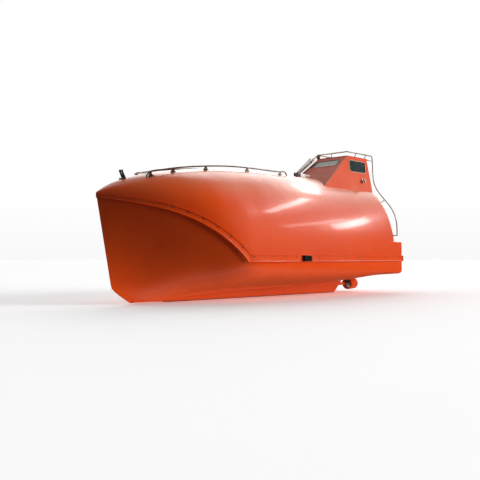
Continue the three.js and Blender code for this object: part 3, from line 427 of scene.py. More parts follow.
def facing_aft(shape, origin):
    """A shape whose Z axis goes aft and its X axis to port."""
    return placed(shape, origin, AFTWARD, TO_PORT)


def on_edge(shape, origin):
    """A shape stood on its edge: its X axis goes forward, its Y axis up and its Z axis to port."""
    return shape[0][:, [0, 2, 1]] + np.asarray(origin, float), shape[1]


def scattered(template, places, normals):
    """One small shape at many places, its Z axis along each place's normal, or along the one for all."""
    normals = np.broadcast_to(normals, (len(places), 3))
    return joined(*[placed(template, place, normal) for place, normal in zip(places, normals)])


# Pieces.


def linked(name, data):
    """An object of the scene for a mesh, a light or a camera."""
    made = bpy.data.objects.new(name, data)
    bpy.context.scene.collection.objects.link(made)
    return made


def raw(name, shape):
    """A mesh object from a shape: doubles merged, then faces turned outwards."""
    points, faces = shape
    mesh = bpy.data.meshes.new(name)
    mesh.from_pydata(points * MM, [], faces)
    work = bmesh.new()
    work.from_mesh(mesh)
    bmesh.ops.remove_doubles(work, verts=work.verts, dist=1e-5)
    bmesh.ops.dissolve_degenerate(work, edges=work.edges, dist=1e-7)
    bmesh.ops.recalc_face_normals(work, faces=work.faces)
    work.to_mesh(mesh)
    work.free()
    return linked(name, mesh)


def carved(made, *cuts):
    """Joins solids to a piece or cuts them out of it, in order, and keeps the result as its mesh."""
    for operation, shape in cuts:
        tool = raw("tool", shape)
        change = made.modifiers.new("change", "BOOLEAN")
        change.operation = operation
        change.solver = "EXACT"
        change.object = tool
        bpy.context.view_layer.update()
        old = made.data
        result = bpy.data.meshes.new_from_object(made.evaluated_get(bpy.context.evaluated_depsgraph_get()))
        made.modifiers.clear()
        made.data = result
        result.name = made.name
        bpy.data.meshes.remove(old)
        tool_mesh = tool.data
        bpy.data.objects.remove(tool)
        bpy.data.meshes.remove(tool_mesh)
    return made


def dressed(made, body, slot, finish, replaces=(), sharp=35, weighted=True):
    """Gives a piece its material, its creases at edges sharper than sharp degrees, and its body."""
    mesh = made.data
    mesh.materials.clear()
    mesh.materials.append(material(finish))
    mesh.shade_smooth()
    mesh.set_sharp_from_angle(angle=np.radians(sharp))
    if weighted:
        made.modifiers.new("flat faces stay flat", "WEIGHTED_NORMAL").keep_sharp = True
    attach(made, body)
    if replaces:
        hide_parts(*([replaces] if isinstance(replaces, str) else replaces))
    return made


def piece(name, shape, slot, finish=None, replaces=None, body="boat", **more):
    """A finished piece from a shape. It stands for the CAD node of its own name, or for those named. Its
    material has its slot's name, unless another finish is given."""
    stands_for = name if replaces is None else replaces
    return dressed(raw(name, shape), body, slot, finish or slot, stands_for, **more)


def laminate(name, shape, finish="gelcoat", **more):
    return piece(name, shape, "orange_laminate", finish, **more)


def steelwork(name, shape, **more):
    return piece(name, shape, "stainless_steel", "stainless", **more)


# Materials.


def node(tree, kind, inputs=None, **settings):
    """Adds a node with its settings. An input that is a socket is linked, and one that is a value is set."""
    made = tree.nodes.new(kind)
    for key, value in settings.items():
        setattr(made, key, value)
    for key, value in (inputs or {}).items():
        if isinstance(value, bpy.types.NodeSocket):
            tree.links.new(value, made.inputs[key])
        else:
            made.inputs[key].default_value = value
    return made


def noise(tree, grain, stretch=(1, 1, 1), detail=2.0):
    """Noise whose grains are about grain millimetres across, before they are stretched."""
    place = node(tree, "ShaderNodeTexCoord").outputs["Object"]
    scale = tuple(1 / (grain * MM * s) for s in stretch)
    scaled = node(tree, "ShaderNodeMapping", {"Vector": place, "Scale": scale}).outputs["Vector"]
    return node(tree, "ShaderNodeTexNoise", {"Vector": scaled, "Scale": 1.0, "Detail": detail}).outputs["Fac"]


def between(tree, value, low, high, to_low=0.0, to_high=1.0):
    """A value moved from one range to another."""
    inputs = {"Value": value, 1: low, 2: high, 3: to_low, 4: to_high}
    return node(tree, "ShaderNodeMapRange", inputs, interpolation_type="SMOOTHSTEP").outputs["Result"]


def mixed(tree, share, first, second):
    """One colour passing into another."""
    return node(tree, "ShaderNodeMix", {0: share, 6: first, 7: second}, data_type="RGBA").outputs[2]


def stained(tree, pattern, span, colour, stain):
    """A colour that passes into a stain where the pattern is strong. The span is between's ranges."""
    return mixed(tree, between(tree, pattern, *span), colour, linear(stain))


def raised(tree, height, reach, below=None):
    """A bump as high as reach metres, on top of another one."""
    inputs = {"Height": height, "Distance": reach, "Strength": 1.0}
    if below:
        inputs["Normal"] = below
    return node(tree, "ShaderNodeBump", inputs).outputs["Normal"]


def finish_shader(tree, **inputs):
    """The surface shader and the output. Names are the shader's sockets, with underscores for spaces."""
    named = {key.replace("_", " "): value for key, value in inputs.items()}
    shader = node(tree, "ShaderNodeBsdfPrincipled", named)
    node(tree, "ShaderNodeOutputMaterial", {"Surface": shader.outputs["BSDF"]})


# Metres above the waterline between which the gelcoat grows paler: partly chalky gelcoat,
# partly a painted reflection of the sky on the upper canopy.
CHALK_AND_REFLECTION_HEIGHTS = (0.95, 1.7)


def orange_skin(tree, chalk_and_reflection, roughness, coat):
    """Orange gelcoat, paler towards the top, partly chalked and partly a painted sky reflection, with a range
    of roughness and a polished coat.
    """
    place = node(tree, "ShaderNodeTexCoord").outputs["Object"]
    height = node(tree, "ShaderNodeSeparateXYZ", {"Vector": place}).outputs["Z"]
    cloud = noise(tree, 420, detail=5)
    runs = noise(tree, 60, stretch=(1, 1, 9), detail=3)
    base = stained(tree, cloud, (0.35, 0.75, 0, 0.2), finishes().orange, "d6340a")
    base = stained(tree, runs, (0.52, 0.8, 0, 0.12), base, "b8300f")
    # Paler towards the top: partly chalked gelcoat, partly a painted reflection of the sky.
    chalk_and_reflection_share = node(tree, "ShaderNodeMath", {0: between(tree, height, *CHALK_AND_REFLECTION_HEIGHTS, 0, chalk_and_reflection),
                                          1: between(tree, cloud, 0.2, 0.7, 0.6, 1.0)}, operation="MULTIPLY")
    base = mixed(tree, chalk_and_reflection_share.outputs[0], base, finishes().faded_and_reflection)
    waves = raised(tree, noise(tree, 260, detail=1), sizes().wave)
    waves = raised(tree, noise(tree, 85, detail=1), sizes().wave / 6, waves)
    # Real orange peel is about 3 mm; it is drawn 14 mm wide so that it shows.
    peel = raised(tree, noise(tree, 14, detail=1), 0.00018, waves)
    finish_shader(tree, Base_Color=base, Roughness=between(tree, cloud, 0.3, 0.8, *roughness),
                  Normal=peel, Coat_Weight=coat, Coat_Roughness=0.1)


def gelcoat(tree):
    """Orange gelcoat on hand-laid glass laminate: a glossy skin over slow waves, with a fine orange peel,
    paler towards the top, partly chalked and partly a painted reflection of the sky, with faint run marks
    down its sides."""
    orange_skin(tree, 0.6, (0.3, 0.42), 0.4)


def tower_gelcoat(tree):
    """The same gelcoat on the tower's upright sides, with hardly any of the paler top (chalked gelcoat and
    painted sky reflection), and duller than the hull's.
    """
    orange_skin(tree, 0.05, (0.5, 0.6), 0.05)


def worn_and_highlight_gelcoat(tree):
    """Gelcoat painted pale along an edge: partly worn, partly a painted highlight on the tower's rounded
    front edges.
    """
    pale_edge_mottle = noise(tree, 30, detail=3)
    base = stained(tree, pale_edge_mottle, (0.3, 0.7), linear("f0a284"), "e07f58")
    finish_shader(tree, Base_Color=base, Roughness=0.5)


def grit_and_skylight_gelcoat(tree):
    """Gelcoat with grit rolled into it: matt, dull and rough, about 3 mm between the grains. Its paler base
    is partly painted sky light, on faces that look forward and up.
    """
    grit = noise(tree, 7, detail=4)
    patches = noise(tree, 160, detail=4)
    base = stained(tree, patches, (0.3, 0.7, 0, 0.5), finishes().textured_and_skylit, "c8604e")
    finish_shader(tree, Base_Color=base, Roughness=0.72, Normal=raised(tree, grit, 0.0014))


def stainless(tree):
    """Stainless tube and plate, mill finish, gone dull and a little brown at sea."""
    stain = noise(tree, 45, detail=5)
    base = stained(tree, stain, (0.45, 0.75, 0, 0.7), finishes().steel, "6e5f50")
    brushed = noise(tree, 3, stretch=(12, 1, 1), detail=2)
    finish_shader(tree, Base_Color=base, Metallic=1.0, Roughness=between(tree, stain, 0.3, 0.8, 0.26, 0.5),
                  Normal=raised(tree, brushed, 0.00006))


def black_paint(tree):
    """Black enamel on steel, brushed on and scuffed grey in places."""
    scuff = noise(tree, 18, detail=6)
    base = stained(tree, scuff, (0.58, 0.78, 0, 0.6), finishes().black, "5a5650")
    finish_shader(tree, Base_Color=base, Roughness=between(tree, scuff, 0.3, 0.8, 0.35, 0.6),
                  Normal=raised(tree, scuff, 0.0003))


def rubber(tree):
    """Moulded black rubber, matt with a faint grey bloom."""
    bloom = noise(tree, 30, detail=4)
    base = stained(tree, bloom, (0.5, 0.8, 0, 0.4), finishes().rubber, "3a3b3c")
    finish_shader(tree, Base_Color=base, Roughness=0.68, Normal=raised(tree, noise(tree, 4), 0.0001))


def acrylic(tree):
    """Tinted cast acrylic: dark, see-through and smooth, with a faint haze of fine scratches."""
    haze = noise(tree, 70, detail=5)
    finish_shader(tree, Base_Color=finishes().acrylic, Roughness=between(tree, haze, 0.4, 0.8, 0.04, 0.16),
                  IOR=1.49, Transmission_Weight=0.35, Coat_Weight=0.4, Coat_Roughness=0.03,
                  Normal=raised(tree, noise(tree, 240, detail=1), 0.001))


def sky_reflection_acrylic(tree):
    """Cast acrylic that faces the sea ahead, painted a pale grey-green: a painted reflection of the sky that
    it faces, dull and mottled.
    """
    haze = noise(tree, 70, detail=5)
    base = stained(tree, haze, (0.35, 0.75), linear("c9cec3"), "b6bbb0")
    finish_shader(tree, Base_Color=base, Roughness=0.5, IOR=1.49, Transmission_Weight=0.1,
                  Normal=raised(tree, noise(tree, 240, detail=1), 0.001))


def pale_lip_highlight(tree):
    """The window lips painted pale, dusty and dull, like old sealing compound: a painted highlight along the
    lips.
    """
    dust = noise(tree, 40, detail=4)
    base = stained(tree, dust, (0.35, 0.75), linear("d3a48c"), "b8806a")
    finish_shader(tree, Base_Color=base, Roughness=0.7, Normal=raised(tree, noise(tree, 9), 0.0002))


def white_plastic(tree):
    """White moulded plastic, slightly yellowed and dusty."""
    dust = noise(tree, 55, detail=5)
    base = stained(tree, dust, (0.45, 0.8, 0, 0.5), finishes().white, "a8a290")
    finish_shader(tree, Base_Color=base, Roughness=0.42, Normal=raised(tree, noise(tree, 6), 0.00008))


def bronze(tree):
    """Cast manganese bronze, ground and then browned by sea water."""
    patina = noise(tree, 35, detail=5)
    base = stained(tree, patina, (0.4, 0.75, 0, 0.8), finishes().bronze, "5d4a2c")
    finish_shader(tree, Base_Color=base, Metallic=1.0, Roughness=between(tree, patina, 0.3, 0.8, 0.25, 0.5),
                  Normal=raised(tree, noise(tree, 5, detail=3), 0.0002))


def grey_paint(tree):
    """Grey hammer paint on cast and folded metal."""
    hammer = noise(tree, 9, detail=1)
    base = stained(tree, hammer, (0.35, 0.65), finishes().grey, "5c605d")
    finish_shader(tree, Base_Color=base, Roughness=0.45, Normal=raised(tree, hammer, 0.0005))


def black_plastic(tree):
    """Moulded black plastic with a fine leather-like grain."""
    grain = noise(tree, 2.5, detail=2)
    finish_shader(tree, Base_Color=finishes().black, Roughness=between(tree, grain, 0.3, 0.7, 0.4, 0.55),
                  Normal=raised(tree, grain, 0.0002))


def studio_floor(tree):
    """Matt pale paint with a barely visible mottle."""
    base = mixed(tree, noise(tree, 900, detail=3), finishes().floor, linear("f6f6f7"))
    finish_shader(tree, Base_Color=base, Roughness=0.9,
                  Emission_Color=finishes().floor, Emission_Strength=0.15)


MATERIALS = {paint.__name__: paint for paint in (
    gelcoat, tower_gelcoat, worn_and_highlight_gelcoat, grit_and_skylight_gelcoat, stainless, black_paint, rubber, acrylic,
    sky_reflection_acrylic, pale_lip_highlight, white_plastic, bronze, grey_paint, black_plastic, studio_floor,
)}


def material(name):
    """The material of that name, made the first time that it is asked for."""
    made = bpy.data.materials.get(name)
    if made is None:
        made = bpy.data.materials.new(name)
        made.use_nodes = True
        made.node_tree.nodes.clear()
        MATERIALS[name](made.node_tree)
    return made


def paint_faces(made, name, chosen):
    """Gives the faces for which chosen(centres, normals) holds another material, with centres in
    millimetres."""
    mesh = made.data
    mesh.materials.append(material(name))
    values = [np.zeros(len(mesh.polygons) * 3) for _ in range(2)]
    mesh.polygons.foreach_get("center", values[0])
    mesh.polygons.foreach_get("normal", values[1])
    centres, normals = (v.reshape(-1, 3) for v in values)
    kept = np.zeros(len(mesh.polygons), int)
    mesh.polygons.foreach_get("material_index", kept)
    index = np.where(chosen(centres / MM, normals), len(mesh.materials) - 1, kept)
    mesh.polygons.foreach_set("material_index", index)
    mesh.update()


# The boat's lines as functions of the distance aft.

BREADTH, RIDGE, BOTTOM, HULL_ACROSS, HULL_UP, CANOPY_ACROSS = (
    spline(STATIONS[:, 0], STATIONS[:, k]) for k in range(1, 7))


def fender_rise(aft):
    """The fender's height: a sweep down from the stem that bends as a power of the distance, then level."""
    t = np.clip(aft, 0, SWEEP_END) / SWEEP_END
    return STEM_RISE * (1 - SWEEP_SLOPE * t - (1 - SWEEP_SLOPE) * t**SWEEP_POWER)


EASE_RISE = fender_rise(EASE_START)
EASE_LENGTH = 4 * EASE_RISE / (fender_rise(EASE_START - 1) - fender_rise(EASE_START + 1))


def widest_rise(aft):
    """The widest line's height: the fender's at the bow, then a parabola down to level."""
    eased = EASE_RISE * np.maximum(1 - (aft - EASE_START) / EASE_LENGTH, 0) ** 2
    return np.where(aft <= EASE_START, fender_rise(aft), eased)


def rake(aft, height):
    """How far the stem's rake moves a point aft: most at the forefoot, fading to nothing at STEM_FADE."""
    low = np.maximum(FOREFOOT_TOP - height, 0) / (FOREFOOT_TOP - KEEL_BOTTOM)
    reach = STEM_SLOPE * (STEM_TOP - height) + FOREFOOT_REACH * low**FOREFOOT_POWER
    return reach * np.maximum(1 - aft / STEM_FADE, 0) ** 2


def body_points(aft, half, height):
    return points_of(X(aft + rake(aft, height)), half, Z(height))


def stem_wedge():
    """The stem's radius, and the slope in plan of each side of the wedge that it rounds."""
    return sizes().stem / MM, BREADTH(20.0) / 20


def half_breadth(aft):
    """The plan's half breadth, with the stem rounded: a circle that touches both sides of the wedge."""
    radius, slope = stem_wedge()
    sine = slope / np.hypot(1, slope)
    centre = radius / sine
    circle = np.sqrt(np.maximum(radius**2 - (aft - centre) ** 2, 0))
    return np.where(aft < centre * (1 - sine**2), circle, BREADTH(aft))


def stem_start():
    radius, slope = stem_wedge()
    return radius * (np.hypot(1, slope) / slope - 1)


def lower_points(aft, angle, inset=0.0):
    """The body below its widest line, a squared-up ellipse. Angle 0 is the bottom, a quarter turn the
    line."""
    depth = widest_rise(aft) - BOTTOM(aft) - inset
    half = np.maximum(half_breadth(aft) - inset, 0) * np.sin(angle) ** (2 / HULL_ACROSS(aft))
    drop = depth * np.maximum(np.cos(angle), 0) ** (2 / HULL_UP(aft))
    return body_points(aft, half, widest_rise(aft) - drop)


def fender_angle(aft):
    """The angle at which the section below the widest line reaches the fender's height."""
    depth = widest_rise(aft) - BOTTOM(aft)
    share = np.maximum(widest_rise(aft) - fender_rise(aft), 0) / depth
    return np.arccos(np.minimum(share ** (HULL_UP(aft) / 2), 1))


def side_breadth(aft, height):
    """The half breadth of the body at a height."""
    widest = widest_rise(aft)
    below = height < widest
    reach = np.where(below, widest - BOTTOM(aft), RIDGE(aft) - widest)
    share = np.minimum(np.abs(height - widest) / reach, 1)
    up = np.where(below, HULL_UP(aft), UP)
    across = np.where(below, HULL_ACROSS(aft), CANOPY_ACROSS(aft))
    return half_breadth(aft) * (1 - share**up) ** (1 / across)


def dome_share(aft):
    """What is left of the canopy's section where its after end rounds off."""
    return np.maximum(1 - (np.clip(aft - DOME_START, 0, None) / (DOME_END - DOME_START)) ** DOME_POWER, 0)


def dome(aft):
    """The canopy's half breadth and rise."""
    share = dome_share(aft)
    rise = (RIDGE(aft) - widest_rise(aft)) * share ** (1 / UP)
    return half_breadth(aft) * share ** (1 / DOME_PLAN_POWER), rise


def canopy_height(aft, half):
    """The canopy's height at a half breadth."""
    reach, rise = dome(np.asarray(aft, float))
    across = np.minimum(np.abs(half) / reach, 1) ** CANOPY_ACROSS(aft)
    return widest_rise(aft) + rise * (1 - across) ** (1 / UP)


def symmetric(rows, start=True, end=True):
    """Rows of port points, from the bottom to the centre plane or the rim, with their mirror images."""
    rows = np.asarray(rows, float)
    return grid(np.concatenate([rows, rows[:, ::-1] * (1, -1, 1)], axis=1), start=start, end=end)


def transom_stations(edge, count=5):
    """The last stations, and how far their sections are drawn in: round the transom's edge."""
    turn = np.linspace(0, QUARTER, count)
    return LENGTH - edge + edge * np.sin(turn), edge * (1 - np.cos(turn))


def stations(*runs):
    """Distances aft from runs of (start, end, step), with each run's ends exact."""
    parts = [np.linspace(a, b, max(int(round((b - a) / step)), 1) + 1) for a, b, step in runs]
    return np.unique(np.concatenate(parts))


def bow_stations():
    start = stem_start()
    nose = start + (60 - start) * np.linspace(0, 1, 9) ** 2
    sweep = stations((60, 400, 20), (400, 1750, 27), (1750, SWEEP_END, 15))
    return np.unique(np.concatenate([nose, sweep]))


def hull_shape():
    """The hull up to the fender: sections along the boat, the last ones drawn in round the transom's edge."""
    last, inset = transom_stations(sizes().transom / MM)
    aft = np.concatenate([bow_stations(), stations((SWEEP_END, 2500, 15), (2500, 6900, 55))[1:], last])
    drawn_in = np.concatenate([np.zeros(len(aft) - len(last)), inset])[:, None]
    aft = aft[:, None]
    t = np.linspace(0, 1, 47)
    angle = fender_angle(aft) * (1 - (1 - t) ** 1.7)
    rows = lower_points(aft, angle, drawn_in)
    rows[:, -1, 2] = Z(fender_rise(aft[:, 0])) - GAP / 2
    return symmetric(rows, start=False)


def canopy_shape():
    """The canopy and the after deck: up the side to the deck's height, round onto the deck, and from its
    inner edge up over the domed part. Ahead of the dome, both follow one curve and the deck has no width."""
    edge = sizes().edge / MM
    last, inset = transom_stations(sizes().transom / MM)
    aft = np.concatenate([
        bow_stations(),
        stations((SWEEP_END, 2500, 15), (2500, 6300, 55), (6300, 6600, 25), (6600, 6800, 12),
                 (6800, 6860, 6))[1:],
        DOME_END - np.array([18, 15, 12, 9.5, 7.5, 6, 4.5, 3, 2, 1, 0]),
        stations((6890, 6970, 20)),
        last,
    ])
    across = CANOPY_ACROSS(aft)
    # Below the deck the side stands more and more upright towards the transom.
    upright = across + UPRIGHT * np.clip((aft - DOME_START) / (LENGTH - DOME_START), 0, 1) ** 2
    drawn_in = np.concatenate([np.zeros(len(aft) - len(last)), inset])
    low, half = widest_rise(aft), half_breadth(aft) - drawn_in
    rise = RIDGE(aft) - low
    deck = np.maximum(AFT_DECK - low, rise / 20) - drawn_in
    reach, top = dome(aft)
    reach = np.minimum(reach, half)

    # These take a value for each station, or rows of them with the stations in columns.
    def side_point(lift):
        turn = np.arcsin(np.minimum(lift / rise, 1) ** (UP / 2))
        return body_points(aft, half * np.cos(turn) ** (2 / upright), low + lift)

    def dome_turn(lift):
        return np.arcsin(np.minimum(lift / np.maximum(top, 1), 1) ** (UP / 2))

    def dome_point(turn, least):
        rounded_half = reach * np.maximum(np.cos(turn), 0) ** (2 / across)
        return body_points(aft, rounded_half, low + np.maximum(top * np.sin(turn) ** (2 / UP), least))

    outer = side_point(deck)
    foot = dome_point(dome_turn(deck), deck)
    width = outer[:, 1] - foot[:, 1]
    bend = np.minimum(edge, 0.45 * np.maximum(width, 0))
    inward = np.array((0, 1, 0)) * bend[:, None]
    corner = bent(side_point(deck - bend), outer, outer - inward)
    start = dome_turn(deck + 1.6 * bend)
    joint = bent(foot + inward, foot, dome_point(start, deck))

    first = fender_angle(aft)[:, None]
    shoulder = lower_points(aft[:, None], first + (QUARTER - first) * np.linspace(0, 1, 5), drawn_in[:, None])
    shoulder[:, 0, 2] = Z(fender_rise(aft)) + GAP / 2
    shares = np.linspace(0, 1, 11)[1:-1, None]
    side = side_point((deck - bend) * shares).swapaxes(0, 1)
    shares = np.linspace(0, 1, 40)[1:, None]
    over = dome_point(start + (QUARTER - start) * shares, deck).swapaxes(0, 1)
    over[:, -1, 1] = 0
    return symmetric(np.concatenate([shoulder, side, corner, joint, over], axis=1), start=False)


def cabin_shape():
    """The space inside: both sections, drawn in by the wall."""
    aft = stations((1150, 6300, 150), (6300, 6790, 35))[:, None]
    turn = np.linspace(-QUARTER, QUARTER, 41)
    share = dome_share(aft + WALL)
    depth = widest_rise(aft) - BOTTOM(aft)
    half = BREADTH(aft)
    inner = (half - WALL) * share ** (1 / DOME_PLAN_POWER)
    down = depth - WALL * np.hypot(half, depth) / half
    rise = (RIDGE(aft) - widest_rise(aft)) * share ** (1 / UP) - WALL
    below = turn < 0
    across = np.where(below, HULL_ACROSS(aft), CANOPY_ACROSS(aft))
    up = np.where(below, HULL_UP(aft), UP)
    y = inner * np.maximum(np.cos(turn), 0) ** (2 / across)
    reach = np.where(below, -down, rise) * np.abs(np.sin(turn)) ** (2 / up)
    return symmetric(body_points(aft, y, widest_rise(aft) + reach))


# Operators: one for each piece or group of like pieces.


class LIFEBOAT_OT_hull(bpy.types.Operator):
    """Moulds the hull up to the fender"""

    bl_idname = "lifeboat.hull"
    bl_label = "Hull"

    def execute(self, context):
        laminate("hull", hull_shape(), replaces="hull_shell", sharp=30, weighted=False)
        return {"FINISHED"}


# Columns: distance aft, the keel's lower edge, and its half breadth.
KEEL = [
    (640, -700, 7), (1000, -700, 27), (1500, -700, 60), (5905, -700, 60), (6030, -592, 60), (6148, -489, 52),
    (6262, -376, 43),
]
HEEL = 3
HEEL_BEND = 40


def hull_underside(aft, half):
    """The hull bottom's height at a half breadth near the centre plane."""
    share = np.clip(half / BREADTH(aft), 0, 1) ** HULL_ACROSS(aft)
    return widest_rise(aft) - (widest_rise(aft) - BOTTOM(aft)) * (1 - share) ** (1 / HULL_UP(aft))


def keel_shape(fillet):
    """The keel: sections with a flat bottom, straight sides and a fillet onto the hull. Its front narrows
    into the V of the bow, and its heel rises to the screw."""
    aft = stations((660, 1100, 40), (1100, 5860, 120), (5860, 5950, 10), (5950, 6250, 20))
    places, edges, halves = np.transpose(KEEL)
    edge, half = np.interp(aft, places, edges), np.interp(aft, places, halves)
    # The corner of the heel is rounded: a parabola that touches both lines HEEL_BEND to either side of it.
    near = np.clip((aft - places[HEEL] + HEEL_BEND) / (2 * HEEL_BEND), 0, 1)
    slope = (edges[HEEL + 1] - edges[HEEL]) / (places[HEEL + 1] - places[HEEL])
    edge = np.where((near > 0) & (near < 1), edges[HEEL] + slope * HEEL_BEND * near**2, edge)
    root = hull_underside(aft, half)
    tall = np.maximum(root - edge, 1)
    bend = np.minimum(14, 0.3 * tall)
    flare = np.minimum(fillet, 0.55 * tall)
    out = half + flare
    rim_z = hull_underside(aft, out) + 3

    def row(y, z):
        return points_of(X(aft), y, Z(z))

    parts = [
        row(0, edge)[:, None],
        bent(row(half - bend, edge), row(half, edge), row(half, edge + bend)),
        bent(row(half, root - flare), row(half, root), row(out, rim_z), count=9),
        row(out - 4, rim_z + 12)[:, None],
        row(0, root + 30)[:, None],
    ]
    return symmetric(np.concatenate(parts, axis=1))


class LIFEBOAT_OT_keel(bpy.types.Operator):
    """Adds the keel with its skeg, and the steel shoe under it"""

    bl_idname = "lifeboat.keel"
    bl_label = "Keel"

    def execute(self, context):
        laminate("keel_skeg", keel_shape(sizes().fillet / MM), sharp=40, weighted=False)
        low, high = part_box("keel_shoe")
        shoe = block(np.array(low) / MM, np.array(high) / MM, 4)
        spots = points_of(X(np.arange(1420, 5880, 400.0)), 0, low.z / MM + 0.3)
        screw = turned([(0, -0.1), (7, -0.1), (9, 1.2), (0, 1.2)], 10)
        steelwork("keel_shoe", joined(shoe, scattered(screw, spots, UPWARD)))
        return {"FINISHED"}


class LIFEBOAT_OT_canopy(bpy.types.Operator):
    """Moulds the canopy with its rounded after end, the after deck and the door's trunk"""

    bl_idname = "lifeboat.canopy"
    bl_label = "Canopy"

    def execute(self, context):
        trunk = slab((TRUNK["from"], TRUNK["aft"]), TRUNK["half"], (200, TRUNK["top"]), 24)
        doorway = slab((6500, TRUNK["aft"] + 40), DOORWAY["half"], (DOORWAY["sill"], DOORWAY["head"]), 30)
        # The well opens the canopy to the tower's inside.
        well = slab((WELL["from"], WELL["aft"]), WELL["half"], (1250, 2000), 30)
        made = carved(raw("canopy", canopy_shape()), ("UNION", trunk), ("DIFFERENCE", cabin_shape()),
                      ("DIFFERENCE", doorway), ("DIFFERENCE", well))
        dressed(made, "boat", "orange_laminate", "gelcoat", "canopy_shell", sharp=32, weighted=False)
        # The after deck's level faces get the paler gritted gelcoat, whose pale tone is partly painted sky
        # light.
        paint_faces(made, "grit_and_skylight_gelcoat", lambda at, normal: (
            (normal[:, 2] > 0.98) & (abs(at[:, 2] - Z(AFT_DECK)) < 3) & (at[:, 0] < X(WELL["aft"]))))
        return {"FINISHED"}


def tower_outline(height, wall, corner):
    """The tower's four sides at a height, drawn in by a wall, with rounded corners."""
    front = ROOF["front"] - (ROOF["z"] - height) / TOWER_SLOPE + wall * np.hypot(1, 1 / TOWER_SLOPE)
    half = ROOF["half"] + (ROOF["z"] - height) * TOWER_LEAN - wall * np.hypot(1, TOWER_LEAN)
    x, rear = X(front), X(ROOF["aft"] - wall)
    return rounded([(x, half), (rear, half), (rear, -half), (x, -half)], corner)


def tower_shape(edge, camber):
    """The tower's outside: outlines from its foot to the roof's edge, round over it, and in over a
    cambered roof that rises as a parabola to its middle."""
    levels = [(TOWER_FOOT, 0), (1500, 0), (1800, 0), (ROOF["z"] - edge, 0)]
    turn = np.linspace(0, QUARTER, 6)[1:]
    levels += list(zip(ROOF["z"] - edge + edge * np.sin(turn), edge * (1 - np.cos(turn))))
    rows = [at_height(shrunk(tower_outline(z, 0, edge)[::-1], inset), Z(z)) for z, inset in levels]
    top = rows[-1]
    middle = top.mean(0)
    share = np.linspace(0, 0.97, 9)[1:, None, None]
    inner = top + (middle - top) * share + np.array((0, 0, camber)) * (1 - (1 - share) ** 2)
    return grid(np.concatenate([rows, inner]))


def tower_inside():
    heights = (TOWER_FOOT - 100, ROOF["z"] - TOWER_WALL)
    return grid([at_height(tower_outline(z, TOWER_WALL, 30), Z(z)) for z in heights])


SIDE_Z = 1931
FRONT_Z = 1982
SIDE_AFT = 6226
SIDE_HALF = ROOF["half"] + (ROOF["z"] - SIDE_Z) * TOWER_LEAN
FRONT_AFT = ROOF["front"] - (ROOF["z"] - FRONT_Z) / TOWER_SLOPE
SIDE_TILT = np.arctan(TOWER_LEAN)
FRONT_TILT = np.arctan(TOWER_SLOPE)
# Columns: name, centre, outward normal, half width at the bottom and at the top, height, corner radius,
# and how far the top lies to one side of the bottom.
WINDOWS = [
    ("front", (X(FRONT_AFT), 0, Z(FRONT_Z)), (np.sin(FRONT_TILT), 0, np.cos(FRONT_TILT)),
     330, 285, 245, 30, 0),
    *[(name, (X(SIDE_AFT), side * SIDE_HALF, Z(SIDE_Z)), (0, side * np.cos(SIDE_TILT), np.sin(SIDE_TILT)),
       279, 288, 238, 50, side * 32) for name, side in (("port", 1), ("starboard", -1))],
    ("aft", (X(ROOF["aft"]), 0, Z(SIDE_Z)), AFTWARD, 250, 250, 240, 50, 0),
]


def window_outline(window, growth):
    bottom, top, height = window[3] + growth, window[4] + growth, window[5] / 2 + growth
    aside = window[7] / 2
    corners = [(-bottom - aside, -height), (bottom - aside, -height),
               (top + aside, height), (-top + aside, height)]
    return rounded(corners, window[6] + growth, 8)


def on_window(window, shape):
    """A shape drawn on a window: its Z axis goes out of the pane, and its X axis lies level."""
    return placed(shape, window[1], window[2], np.cross((0, 0, 1), window[2]))


class LIFEBOAT_OT_tower(bpy.types.Operator):
    """Moulds the conning tower, with its window openings"""

    bl_idname = "lifeboat.tower"
    bl_label = "Tower"

    def execute(self, context):
        edge = sizes().edge / MM
        openings = [on_window(window, plate(window_outline(window, 0), -90, 30, 1)) for window in WINDOWS]
        cuts = [("DIFFERENCE", cut) for cut in (tower_inside(), *openings)]
        made = carved(raw("tower", tower_shape(edge, sizes().camber / MM)), *cuts)
        dressed(made, "boat", "orange_laminate", "tower_gelcoat", "tower_shell", sharp=30)
        # The front face gets the paler gritted gelcoat, whose pale tone is partly painted sky light.
        slope = np.array(WINDOWS[0][2])
        paint_faces(made, "grit_and_skylight_gelcoat", lambda at, normal: normal @ slope > 0.985)
        # A pale line painted along the front's rounded edges: partly worn gelcoat, partly a painted
        # highlight.
        below = Z(ROOF["z"] - 30)
        paint_faces(made, "worn_and_highlight_gelcoat", lambda at, normal: (
            (normal @ slope > 0.6) & (normal @ slope < 0.985)
            & (np.abs(normal[:, 1]) > 0.2) & (at[:, 2] < below)))
        return {"FINISHED"}


class LIFEBOAT_OT_windows(bpy.types.Operator):
    """Sets the four panes in their rubber gaskets and moulded lips"""

    bl_idname = "lifeboat.windows"
    bl_label = "Windows"

    def execute(self, context):
        lip = [(-3, -6), (-3, 3), (0, 6.4), (5, 7), (14, 6), (19, 3), (20, -1), (19, -6)]
        seal = [(-15, -6), (-15, -2), (-11, 1.5), (-5, 2), (-1, 0), (-1, -6)]
        for window in WINDOWS:
            name = window[0]
            outline = window_outline(window, 0)
            # The side and aft lips are painted pale as a painted highlight; the front lip gets the paler
            # gritted gelcoat.
            laminate(f"window_lip_{name}", on_window(window, bead(outline, lip)),
                     "grit_and_skylight_gelcoat" if name == "front" else "pale_lip_highlight")
            piece(f"window_gasket_{name}", on_window(window, bead(outline, seal)),
                  "black_plastic", "rubber", replaces=())
            pane = plate(window_outline(window, -2), -14, -4, 1)
            # The front pane is painted pale grey-green: a painted reflection of the sky.
            piece(f"window_glass_{name}", on_window(window, pane), "window_acrylic",
                  "sky_reflection_acrylic" if name == "front" else "acrylic")
        return {"FINISHED"}


